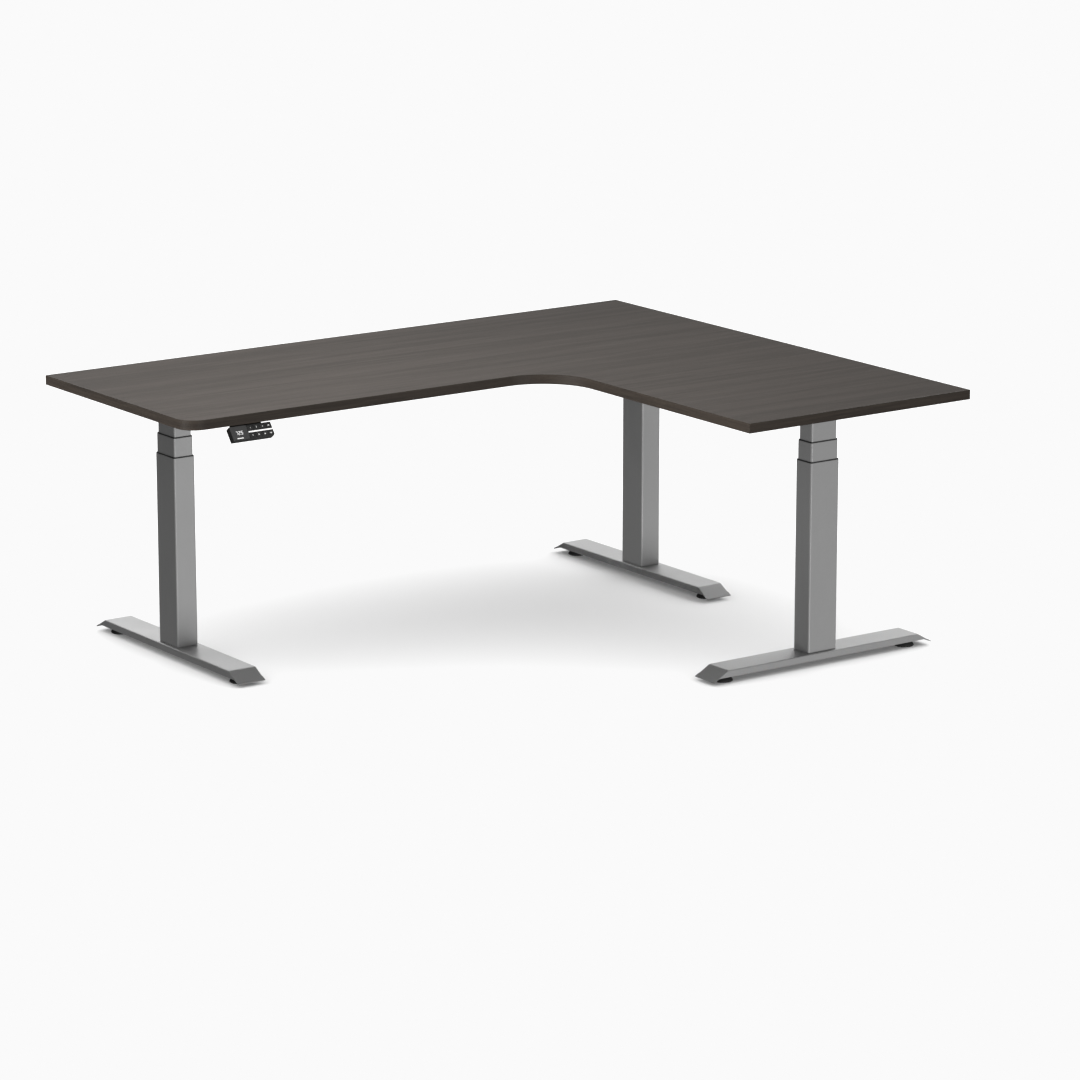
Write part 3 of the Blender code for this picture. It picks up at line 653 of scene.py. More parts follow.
def turned(name: str, profile: Outline, steps: int = 48, closed: bool = False) -> bpy.types.Mesh:
    """A profile turned about Z.

    Args:
        name: The mesh's name.
        profile: (radius, height) points that run down the outer side.
        steps: The number of sides.
        closed: Whether the last point joins the first, as on a tube.

    Returns:
        A closed mesh whose faces point outwards.
    """
    mesh = bpy.data.meshes.new(name)
    edges = [(i, i + 1) for i in range(len(profile) - 1)]
    if closed:
        edges.append((len(profile) - 1, 0))
    mesh.from_pydata([(radius, 0.0, height) for radius, height in profile], edges, [])
    settings = {"steps": steps, "render_steps": steps, "use_merge_vertices": True, "merge_threshold": 0.00001}
    return modified(mesh, "SCREW", **settings)


def softened(profile: Outline, radius: float, steps: int = 3) -> Outline:
    """A turned profile with each inner corner rounded.

    Args:
        profile: The profile's points.
        radius: The rounding, cut down where a side is short.
        steps: The number of chords in each rounded corner.

    Returns:
        The longer list of points, with both ends as they were.
    """
    points = [profile[0]]
    for before, corner, after in zip(profile, profile[1:], profile[2:]):
        here = Vector(corner)
        back, on = Vector(before) - here, Vector(after) - here
        reach = min(radius, back.length * 0.45, on.length * 0.45)
        start, end = here + back.normalized() * reach, here + on.normalized() * reach
        for i in range(steps + 1):
            share = i / steps
            point = start.lerp(here, share).lerp(here.lerp(end, share), share)
            points.append((point.x, point.y))
    return [*points, profile[-1]]


def swept(name: str, path: Callable[[float], Outline], section: Outline) -> bpy.types.Mesh:
    """A section carried round a closed flat path, with the length along it in a UV map.

    Args:
        name: The mesh's name.
        path: Gives the path's points at a distance inside the outline, always as many.
        section: The section's (inset, height) points.

    Returns:
        A closed ring.
    """
    rings = [path(inset) for inset, _ in section]
    count = len(rings[0])
    lengths = [0.0]
    for i in range(count):
        lengths.append(lengths[-1] + math.dist(rings[0][i], rings[0][(i + 1) % count]))
    around = [0.0]
    for a, b in zip(section, [*section[1:], section[0]]):
        around.append(around[-1] + math.dist(a, b))

    def build(bm: bmesh.types.BMesh) -> None:
        """Lay the quads along the path."""
        layer = bm.loops.layers.uv.new("UVMap")
        verts = [[bm.verts.new((x, y, z)) for x, y in ring] for ring, (_, z) in zip(rings, section)]
        for j in range(len(section)):
            near, far = verts[j], verts[(j + 1) % len(section)]
            for i in range(count):
                k = (i + 1) % count
                face = bm.faces.new((near[i], near[k], far[k], far[i]))
                places = ((i, j), (i + 1, j), (i + 1, j + 1), (i, j + 1))
                for loop, (u, v) in zip(face.loops, places):
                    loop[layer].uv = (lengths[u], around[v])
        bmesh.ops.recalc_face_normals(bm, faces=bm.faces)

    return shaped(name, build)


# Geometry Nodes ------------------------------------------------------------------------------


class Grower:
    """A Geometry Nodes tree with named inputs, and how it is run on a mesh."""

    def __init__(self, title: str, inputs: dict[str, str]) -> None:
        """Make the empty tree.

        Args:
            title: The tree's name.
            inputs: Each input's name and the type of its socket.
        """
        self.tree = bpy.data.node_groups.new(title, "GeometryNodeTree")
        self.tree.interface.new_socket("Geometry", in_out="OUTPUT", socket_type="NodeSocketGeometry")
        self.tree.interface.new_socket("Geometry", in_out="INPUT", socket_type="NodeSocketGeometry")
        for name, kind in {**inputs, "Finish": "Material"}.items():
            self.tree.interface.new_socket(name, in_out="INPUT", socket_type=f"NodeSocket{kind}")
        self.inputs = self.tree.nodes.new("NodeGroupInput").outputs
        self.wire()

    def wire(self) -> None:
        """Lay out the tree's nodes, ending in deliver()."""
        raise NotImplementedError

    def add(self, kind: str, sockets: dict | None = None, **settings: Any) -> bpy.types.Node:
        """Add a node to this tree."""
        return add_node(self.tree, kind, sockets, **settings)

    def sum(self, operation: str, first: Any, second: Any) -> bpy.types.NodeSocket:
        """The result of a sum on two numbers."""
        return self.add("ShaderNodeMath", {0: first, 1: second}, operation=operation).outputs[0]

    def deliver(self, geometry: bpy.types.NodeSocket) -> None:
        """End the tree: real geometry in its finish."""
        real = self.add("GeometryNodeRealizeInstances", {"Geometry": geometry}).outputs[0]
        dressed = self.add("GeometryNodeSetMaterial", {"Geometry": real, "Material": self.inputs["Finish"]}).outputs[0]
        self.add("NodeGroupOutput", {"Geometry": dressed})

    def grow(self, name: str, mesh: bpy.types.Mesh | None, finish: Finish, **values: Any) -> bpy.types.Mesh:
        """Run the tree.

        Args:
            name: The new mesh's name.
            mesh: The mesh that it grows on, or None for an empty one.
            finish: The finish that it ends in.
            values: The named inputs, with spaces written as underscores.

        Returns:
            The plain mesh that comes out.
        """
        obj = object_for(f"{name}_work", mesh or bpy.data.meshes.new(name))
        modifier = obj.modifiers.new(self.tree.name, "NODES")
        modifier.node_group = self.tree
        known = {"Finish": finish.material(), **{key.replace("_", " "): value for key, value in values.items()}}
        for item in self.tree.interface.items_tree:
            if item.in_out == "INPUT" and item.name in known:
                modifier[item.identifier] = known[item.name]
        return baked(obj, name)


class TubeGrower(Grower):
    """Drawn rectangular tube: a wall section, round at its rims, carried round a rounded rectangle."""

    def __init__(self) -> None:
        """Name the tube's sizes."""
        sizes = ("Width", "Depth", "Corner", "Wall", "Bottom", "Top", "Rim")
        super().__init__("drawn tube", dict.fromkeys(sizes, "Float"))

    def rounded(self, width: Any, height: Any, radius: Any, count: int) -> bpy.types.NodeSocket:
        """A rectangle with filleted corners, as a curve."""
        flat = self.add("GeometryNodeCurvePrimitiveQuadrilateral", {"Width": width, "Height": height}).outputs[0]
        fillet = {"Curve": flat, "Count": count, "Radius": radius, "Limit Radius": True}
        return self.add("GeometryNodeFilletCurve", fillet, mode="POLY").outputs[0]

    def wire(self) -> None:
        """The path along the middle of the wall, then the wall's own section along it."""
        values = self.inputs
        width = self.sum("SUBTRACT", values["Width"], values["Wall"])
        depth = self.sum("SUBTRACT", values["Depth"], values["Wall"])
        corner = self.sum("SUBTRACT", values["Corner"], self.sum("MULTIPLY", values["Wall"], 0.5))
        path = self.rounded(width, depth, corner, 8)
        path = self.add("GeometryNodeSetCurveNormal", {"Curve": path}, mode="Z_UP").outputs[0]
        height = self.sum("SUBTRACT", values["Top"], values["Bottom"])
        section = self.rounded(values["Wall"], height, values["Rim"], 3)
        wall = {"Curve": path, "Profile Curve": section, "Fill Caps": False}
        tube = self.add("GeometryNodeCurveToMesh", wall).outputs[0]
        middle = self.sum("MULTIPLY", self.sum("ADD", values["Top"], values["Bottom"]), 0.5)
        raised = self.add("ShaderNodeCombineXYZ", {"Z": middle}).outputs[0]
        self.deliver(self.add("GeometryNodeTransform", {"Geometry": tube, "Translation": raised}).outputs[0])


class ThreadGrower(Grower):
    """A screw thread of one or more starts: a trapezoid ridge wound up a helix about Z."""

    def __init__(self) -> None:
        """Name the thread's sizes."""
        sizes = dict.fromkeys(("Radius", "Depth", "Ridge", "Length", "Turns", "Bottom"), "Float")
        super().__init__("wound thread", {**sizes, "Starts": "Int", "Steps": "Int"})

    def wire(self) -> None:
        """One helix with its ridge, then a copy of it for each start."""
        values = self.inputs
        foot = self.sum("SUBTRACT", values["Radius"], values["Depth"])
        helix = {"Resolution": values["Steps"], "Rotations": values["Turns"], "Height": values["Length"]}
        helix |= {"Start Radius": foot, "End Radius": foot}
        path = self.add("GeometryNodeCurveSpiral", helix).outputs[0]
        path = self.add("GeometryNodeSetCurveNormal", {"Curve": path}, mode="Z_UP").outputs[0]
        ridge = self.add(
            "GeometryNodeCurvePrimitiveQuadrilateral",
            {
                "Bottom Width": values["Ridge"],
                "Top Width": self.sum("MULTIPLY", values["Ridge"], 0.45),
                "Height": self.sum("MULTIPLY", values["Depth"], 1.2),
                "Offset": 0.0,
            },
            mode="TRAPEZOID",
        ).outputs[0]
        out = self.add("ShaderNodeCombineXYZ", {"X": self.sum("MULTIPLY", values["Depth"], 0.4)}).outputs[0]
        lying = {"Geometry": ridge, "Translation": out, "Rotation": (0.0, 0.0, -math.pi / 2)}
        section = self.add("GeometryNodeTransform", lying).outputs[0]
        wound = {"Curve": path, "Profile Curve": section, "Fill Caps": True}
        one = self.add("GeometryNodeCurveToMesh", wound).outputs[0]
        raised = self.add("ShaderNodeCombineXYZ", {"Z": values["Bottom"]}).outputs[0]
        one = self.add("GeometryNodeTransform", {"Geometry": one, "Translation": raised}).outputs[0]
        points = self.add("GeometryNodePoints", {"Count": values["Starts"]}).outputs[0]
        index = self.add("GeometryNodeInputIndex").outputs[0]
        turn = self.sum("DIVIDE", self.sum("MULTIPLY", index, 2 * math.pi), values["Starts"])
        spin = self.add("FunctionNodeAxisAngleToRotation", {"Axis": (0.0, 0.0, 1.0), "Angle": turn}).outputs[0]
        copies = {"Points": points, "Instance": one, "Rotation": spin}
        self.deliver(self.add("GeometryNodeInstanceOnPoints", copies).outputs[0])


class RingGrower(Grower):
    """Copies of the mesh it grows on, evenly spaced round the Z axis."""

    def __init__(self) -> None:
        """Name the ring's inputs."""
        super().__init__("copies round an axis", {"Count": "Int"})

    def wire(self) -> None:
        """A point at the axis for each copy, turned by its share of a turn."""
        points = self.add("GeometryNodePoints", {"Count": self.inputs["Count"]}).outputs[0]
        index = self.add("GeometryNodeInputIndex").outputs[0]
        turn = self.sum("DIVIDE", self.sum("MULTIPLY", index, 2 * math.pi), self.inputs["Count"])
        spin = self.add("FunctionNodeAxisAngleToRotation", {"Axis": (0.0, 0.0, 1.0), "Angle": turn}).outputs[0]
        copies = {"Points": points, "Instance": self.inputs["Geometry"], "Rotation": spin}
        self.deliver(self.add("GeometryNodeInstanceOnPoints", copies).outputs[0])


class RowGrower(Grower):
    """Copies of the mesh it grows on, one step apart."""

    def __init__(self) -> None:
        """Name the row's inputs."""
        super().__init__("copies in a row", {"Count": "Int", "Step": "Vector"})

    def wire(self) -> None:
        """A line of points with a copy on each."""
        line = {"Count": self.inputs["Count"], "Offset": self.inputs["Step"]}
        points = self.add("GeometryNodeMeshLine", line, mode="OFFSET").outputs[0]
        copies = {"Points": points, "Instance": self.inputs["Geometry"]}
        self.deliver(self.add("GeometryNodeInstanceOnPoints", copies).outputs[0])


class FastenerGrower(Grower):
    """A fastener on each point of the mesh it grows on, along the point's own axis.

    Each is turned about its axis by a seeded random angle, as a driver leaves it.
    """

    def __init__(self) -> None:
        """Name the inputs."""
        super().__init__("driven fasteners", {"Fastener": "Object", "Seed": "Int"})

    def wire(self) -> None:
        """Stand the fastener on each axis, then spin it at random."""
        axis = self.add("GeometryNodeInputNamedAttribute", {"Name": "axis"}, data_type="FLOAT_VECTOR").outputs[0]
        stand = self.add("FunctionNodeAlignRotationToVector", {"Vector": axis}, axis="Z").outputs[0]
        any_turn = {2: 0.0, 3: 2 * math.pi, "Seed": self.inputs["Seed"]}
        angle = self.add("FunctionNodeRandomValue", any_turn, data_type="FLOAT").outputs[1]
        spin = self.add("FunctionNodeAxisAngleToRotation", {"Axis": (0.0, 0.0, 1.0), "Angle": angle}).outputs[0]
        turn = {"Rotation": stand, "Rotate By": spin}
        rotation = self.add("FunctionNodeRotateRotation", turn, rotation_space="LOCAL").outputs[0]
        fastener = self.add("GeometryNodeObjectInfo", {"Object": self.inputs["Fastener"]}).outputs["Geometry"]
        copies = {"Points": self.inputs["Geometry"], "Instance": fastener, "Rotation": rotation}
        self.deliver(self.add("GeometryNodeInstanceOnPoints", copies).outputs[0])


@dataclass
class Growers:
    """The desk's Geometry Nodes trees, each made once."""

    tube: TubeGrower = field(default_factory=TubeGrower)
    thread: ThreadGrower = field(default_factory=ThreadGrower)
    ring: RingGrower = field(default_factory=RingGrower)
    row: RowGrower = field(default_factory=RowGrower)
    fastener: FastenerGrower = field(default_factory=FastenerGrower)


# Pieces --------------------------------------------------------------------------------------


def smooth(mesh: bpy.types.Mesh) -> bpy.types.Mesh:
    """Shade the mesh smooth over its small roundings and flat over its flat faces."""
    mesh.shade_smooth()
    mesh.set_sharp_from_angle(angle=SMOOTH_ANGLE)
    return modified(mesh, "WEIGHTED_NORMAL", keep_sharp=True, mode="FACE_AREA", weight=100)


def piece(
    name: str, mesh: bpy.types.Mesh, finish: Finish, body: str, stands_for: Sequence[str] = ()
) -> bpy.types.Object:
    """Make a finished mesh a piece of the desk.

    Args:
        name: The piece's name.
        mesh: Its mesh, in the desk's frame.
        finish: Its finish.
        body: The body that carries it.
        stands_for: The CAD nodes that it is shown instead of.

    Returns:
        The piece's object, at the origin.
    """
    mesh = smooth(mesh)
    mesh.name = name
    mesh.materials.clear()
    mesh.materials.append(finish.material())
    obj = object_for(name, mesh)
    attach(obj, body)
    if stands_for:
        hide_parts(*stands_for)
    LOG.info("%-28s %6d faces on %s", name, len(mesh.polygons), body)
    return obj


def socket_head(name: str, radius: float, height: float, socket: float) -> bpy.types.Mesh:
    """A low button head with a hexagonal socket, standing on the origin along +Z.

    Args:
        name: The mesh's name.
        radius: The head's radius.
        height: The head's height.
        socket: The socket's size across its flats.

    Returns:
        A closed mesh of a few dozen faces.
    """
    sides = 12
    rings = (
        (radius, 0.0, False), (radius, height * 0.35, False), (radius * 0.86, height * 0.80, False),
        (radius * 0.62, height, False), (socket / 2, height, True), (socket / 2, height * 0.35, True),
    )

    def build(bm: bmesh.types.BMesh) -> None:
        """Stack the rings; a socket's ring is a hexagon with its sides' middles."""
        loops = []
        for reach, z, hexagonal in rings:
            verts = []
            for i in range(sides):
                turn = 2 * math.pi * i / sides
                out = reach / math.cos(math.pi / 6) if hexagonal and i % 2 == 0 else reach
                verts.append(bm.verts.new((out * math.cos(turn), out * math.sin(turn), z)))
            loops.append(verts)
        for near, far in zip(loops, loops[1:]):
            for i in range(sides):
                bm.faces.new((near[i], near[(i + 1) % sides], far[(i + 1) % sides], far[i]))
        bm.faces.new(list(reversed(loops[0])))
        bm.faces.new(loops[-1])

    return shaped(name, build)


@dataclass
class Fasteners:
    """A set of alike fasteners on one body.

    Attributes:
        name: The set's name.
        body: The body that carries it.
        radius: The head's radius.
        height: The head's height.
        socket: The socket's size across its flats.
        seed: The seed of the turns they are left at.
        places: Each head's seat and the way that it points.
    """

    name: str
    body: str
    radius: float
    height: float
    socket: float
    seed: int
    places: list[tuple[Vector, Vector]] = field(default_factory=list)

    def add(self, seat: Vector, axis: Vector) -> None:
        """Note one more fastener."""
        self.places.append((seat, axis.normalized()))

    def build(self, growers: Growers) -> None:
        """Grow the whole set as one piece."""
        points = bpy.data.meshes.new(f"{self.name}_points")
        points.from_pydata([tuple(seat) for seat, _ in self.places], [], [])
        axes = points.attributes.new("axis", "FLOAT_VECTOR", "POINT")
        for item, (_, axis) in zip(axes.data, self.places):
            item.vector = axis
        head = object_for(f"{self.name}_head", socket_head(self.name, self.radius, self.height, self.socket))
        mesh = growers.fastener.grow(self.name, points, ZINC_PLATE, Fastener=head, Seed=self.seed)
        bpy.data.objects.remove(head, do_unlink=True)
        piece(self.name, mesh, ZINC_PLATE, self.body)


# The board -----------------------------------------------------------------------------------


@dataclass
class Board:
    """The L-shaped board with its glued edge band.

    Attributes:
        main_depth: The main wing's depth.
        return_depth: The return's width.
        inner_curve: The radius inside the L.
        front_corner: The radius of the round front corner.
        band: The edge band's thickness.
        arris: The rounding that the edge trimmer leaves.
    """

    main_depth: float = 0.700
    return_depth: float = 0.700
    inner_curve: float = 0.150
    front_corner: float = 0.050
    band: float = 0.0012
    arris: float = 0.0011

    def outline(self, inset: float = 0.0) -> Outline:
        """The L at a distance inside its edge.

        Args:
            inset: The distance.

        Returns:
            The points, anticlockwise, as many at every inset.
        """
        low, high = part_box("desktop")
        left, right = low.x + inset, high.x - inset
        end, back = low.y + inset, high.y - inset
        front, side = high.y - self.main_depth, high.x - self.return_depth
        corner = (low.x + self.front_corner, front + self.front_corner)
        curve = (side - self.inner_curve, front - self.inner_curve)
        points = [(left, back)]
        points += arc(corner, self.front_corner - inset, 180, 270, 16)
        points += arc(curve, self.inner_curve + inset, 90, 0, 32)
        return [*points, (side + inset, end), (right, end), (right, back)]

    def build(self) -> None:
        """The faced board, then the band round it."""
        low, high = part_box("desktop")
        core = prism("desktop_board", [self.outline(self.band + HAIRLINE / 3)], low.z, high.z, HAIRLINE)
        piece("desktop_board", core, BOARD_DECOR, "lifting_frame", ["desktop"])
        rounding = arc((self.arris, 0.0), self.arris, 90, 180, 4)
        upper = [(inset, high.z - self.arris + rise) for inset, rise in rounding]
        lower = [(inset, low.z + self.arris - rise) for inset, rise in reversed(rounding)]
        section = [(self.band, high.z), *upper, *lower, (self.band, low.z)]
        band = swept("desktop_edge_band", self.outline, section)
        piece("desktop_edge_band", band, EDGE_DECOR, "lifting_frame", ["desktop"])


# Legs ----------------------------------------------------------------------------------------


@dataclass(frozen=True)
class LegFrame:
    """A leg's own frame: its foot lies along Y, and +X points towards the middle of the desk.

    Attributes:
        name: The leg's name in the frame's nodes.
    """

    name: str

    @property
    def matrix(self) -> Matrix:
        """The leg's place, from its column, and its turn, from where its motor lies."""
        low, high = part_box(f"outer_tube_{self.name}")
        start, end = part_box(f"motor_{self.name}")
        centre, motor = (low + high) / 2, (start + end) / 2
        turn = math.atan2(motor.y - centre.y, motor.x - centre.x)
        turn = round(turn / (math.pi / 2)) * math.pi / 2
        return Matrix.Translation((centre.x, centre.y, 0.0)) @ Matrix.Rotation(turn, 4, "Z")

    def box(self, part: str) -> tuple[Vector, Vector]:
        """A node's lowest and highest corner in the leg's frame.

        Args:
            part: The node's name without the leg's.

        Returns:
            The two corners.
        """
        return self.node_box(f"{part}_{self.name}")

    def node_box(self, node: str) -> tuple[Vector, Vector]:
        """A whole node name's lowest and highest corner in the leg's frame."""
        back = self.matrix.inverted()
        a, b = (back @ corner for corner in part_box(node))
        return Vector(map(min, a, b)), Vector(map(max, a, b))

    def add(self, part: str, mesh: bpy.types.Mesh, finish: Finish, body: str, *nodes: str) -> None:
        """Put a mesh made in the leg's frame in its place, as a piece."""
        stands_for = [f"{node}_{self.name}" for node in nodes]
        piece(f"{part}_{self.name}", moved(mesh, self.matrix), finish, body, stands_for)

    def point(self, x: float, y: float, z: float) -> Vector:
        """A point of the leg's frame in the desk's."""
        return self.matrix @ Vector((x, y, z))


@dataclass
class Foot:
    """The folded channel under a column, its weld nuts and its levelling feet.

    Attributes:
        leg: The leg's frame.
        growers: The trees.
        sheet: The channel's sheet thickness.
        fold: The outer radius of its folds.
        flange: The height of its side walls.
        end_run: The length of a sloped end.
        end_drop: The drop of a sloped end.
        nut_across: The weld nut's size across its flats.
        stem: The levelling foot's stem radius.
        pad_height: The levelling foot's height.
        pad_rim: The height of its upright rim.
        pad_taper: How much narrower its top is.
        grips: The number of finger grips round the pad.
    """

    leg: LegFrame
    growers: Growers
    sheet: float = 0.0020
    fold: float = 0.0030
    flange: float = 0.0175
    end_run: float = 0.044
    end_drop: float = 0.0250
    nut_across: float = 0.0140
    stem: float = 0.0040
    pad_height: float = 0.0110
    pad_rim: float = 0.0050
    pad_taper: float = 0.0040
    grips: int = 24

    def channel(self) -> bpy.types.Mesh:
        """The channel, folded down along its sides and its sloped ends.

        Returns:
            The closed sheet, in the leg's frame.
        """
        low, high = self.leg.box("foot")
        width, top, half = high.x - low.x, high.z, (high.y - low.y) / 2
        fold = half - self.end_run
        slope = self.end_run / self.end_drop
        flange_end = fold + self.flange * slope
        tip = self.end_drop - self.flange

        def fold_up(bm: bmesh.types.BMesh) -> None:
            """Slope the ends, open the underside and draw out the tips."""
            for vert in bm.verts:
                reach = fold if vert.co.z > top - self.flange / 2 else flange_end
                vert.co.y = math.copysign(reach, vert.co.y)
            lowest = min(bm.faces, key=lambda face: face.calc_center_median().z)
            ends = [edge for edge in lowest.edges if abs(edge.verts[0].co.y - edge.verts[1].co.y) < 1e-6]
            bmesh.ops.delete(bm, geom=[lowest], context="FACES_ONLY")
            for side in (-1, 1):
                end = [edge for edge in ends if edge.verts[0].co.y * side > 0]
                grown = bmesh.ops.extrude_edge_only(bm, edges=end)["geom"]
                verts = [item for item in grown if isinstance(item, bmesh.types.BMVert)]
                bmesh.ops.translate(bm, vec=(0.0, side * tip * slope, -tip), verts=verts)
            bmesh.ops.recalc_face_normals(bm, faces=bm.faces)
            if max(bm.faces, key=lambda face: face.calc_center_median().z).normal.z < 0:
                bmesh.ops.reverse_faces(bm, faces=bm.faces)

        sheet = block("foot_channel", (-width / 2, -fold, top - self.flange), (width / 2, fold, top))
        sheet = eased(shaped("foot_channel", fold_up, sheet), self.fold, 5, 20.0)
        settings = {"thickness": self.sheet, "offset": -1.0, "use_even_offset": True, "use_quality_normals": True}
        return eased(modified(sheet, "SOLIDIFY", **settings), self.sheet * 0.12, 1, 60.0)

    def weld_nut(self, y: float) -> bpy.types.Mesh:
        """A hexagonal weld nut under the channel, round the levelling foot's stem."""
        top = self.leg.box("foot")[1].z - self.sheet
        corner = self.nut_across / 2 / math.cos(math.pi / 6)
        bore = self.stem + HAIRLINE
        profile = [(corner, top), (corner, self.pad_height + 0.005), (corner * 0.92, self.pad_height + 0.004)]
        profile += [(bore, self.pad_height + 0.004), (bore, top)]
        return at(turned("weld_nut", profile, 6, closed=True), y=y)

    def levelling_pad(self, radius: float) -> bpy.types.Mesh:
        """The round pad with a soft shoulder and finger grips round its rim."""
        grip = radius * 2 * math.pi / self.grips * 0.28
        body = radius - grip * 0.5
        profile = [
            (0.0, self.pad_height), (self.stem + 0.003, self.pad_height), (body - self.pad_taper, self.pad_height),
            (body, self.pad_rim), (body, 0.0012), (body - 0.0012, 0.0), (0.0, 0.0),
        ]
        pad = turned("pad", softened(profile, 0.0012), 48)
        rib = at(turned("grip", [(0.0, self.pad_rim), (grip, self.pad_rim - grip), (grip, 0.0015), (0.0, 0.0009)], 8), x=radius - grip)
        grips = self.growers.ring.grow("grips", rib, RUBBER, Count=self.grips)
        return joined("levelling_pad", [pad, grips])

    def threaded_stem(self, top: float) -> bpy.types.Mesh:
        """The stem with its M8 thread and a chamfered tip."""
        depth, pitch, bottom = 0.00065, 0.00125, self.pad_height - 0.001
        core = self.stem - depth
        profile = [(0.0, top), (core - 0.0006, top), (core, top - 0.0008), (core, bottom), (0.0, bottom)]
        length = top - bottom - 0.0015
        thread = self.growers.thread.grow(
            "thread", None, ZINC_PLATE, Radius=self.stem, Depth=depth, Ridge=pitch * 0.86, Length=length,
            Turns=length / pitch, Bottom=bottom, Starts=1, Steps=16,
        )
        return joined("levelling_stem", [turned("stem", profile, 24), thread])

    def build(self, bolts: Fasteners) -> None:
        """The channel, the weld nuts, the levelling feet and the bolts that hold the column."""
        self.leg.add("foot_channel", self.channel(), SILVER_POWDER, "base", "foot")
        nuts = []
        for place in ("a", "b"):
            body = f"levelling_foot_{self.leg.name}_{place}"
            low, high = self.leg.node_box(body)
            y = (low.y + high.y) / 2
            radius = (high.x - low.x) / 2
            pad = moved(self.levelling_pad(radius), self.leg.matrix @ Matrix.Translation((0.0, y, 0.0)))
            piece(f"levelling_pad_{self.leg.name}_{place}", pad, RUBBER, body, [body])
            stem = moved(self.threaded_stem(high.z), self.leg.matrix @ Matrix.Translation((0.0, y, 0.0)))
            piece(f"levelling_stem_{self.leg.name}_{place}", stem, ZINC_PLATE, body)
            nuts.append(self.weld_nut(y))
        self.leg.add("foot_weld_nuts", joined("foot_weld_nuts", nuts), ZINC_PLATE, "base")
        top = self.leg.box("foot")[1].z - self.sheet
        for x in (-0.019, 0.019):
            for y in (-0.033, 0.033):
                bolts.add(self.leg.point(x, y, top), Vector((0.0, 0.0, -1.0)))


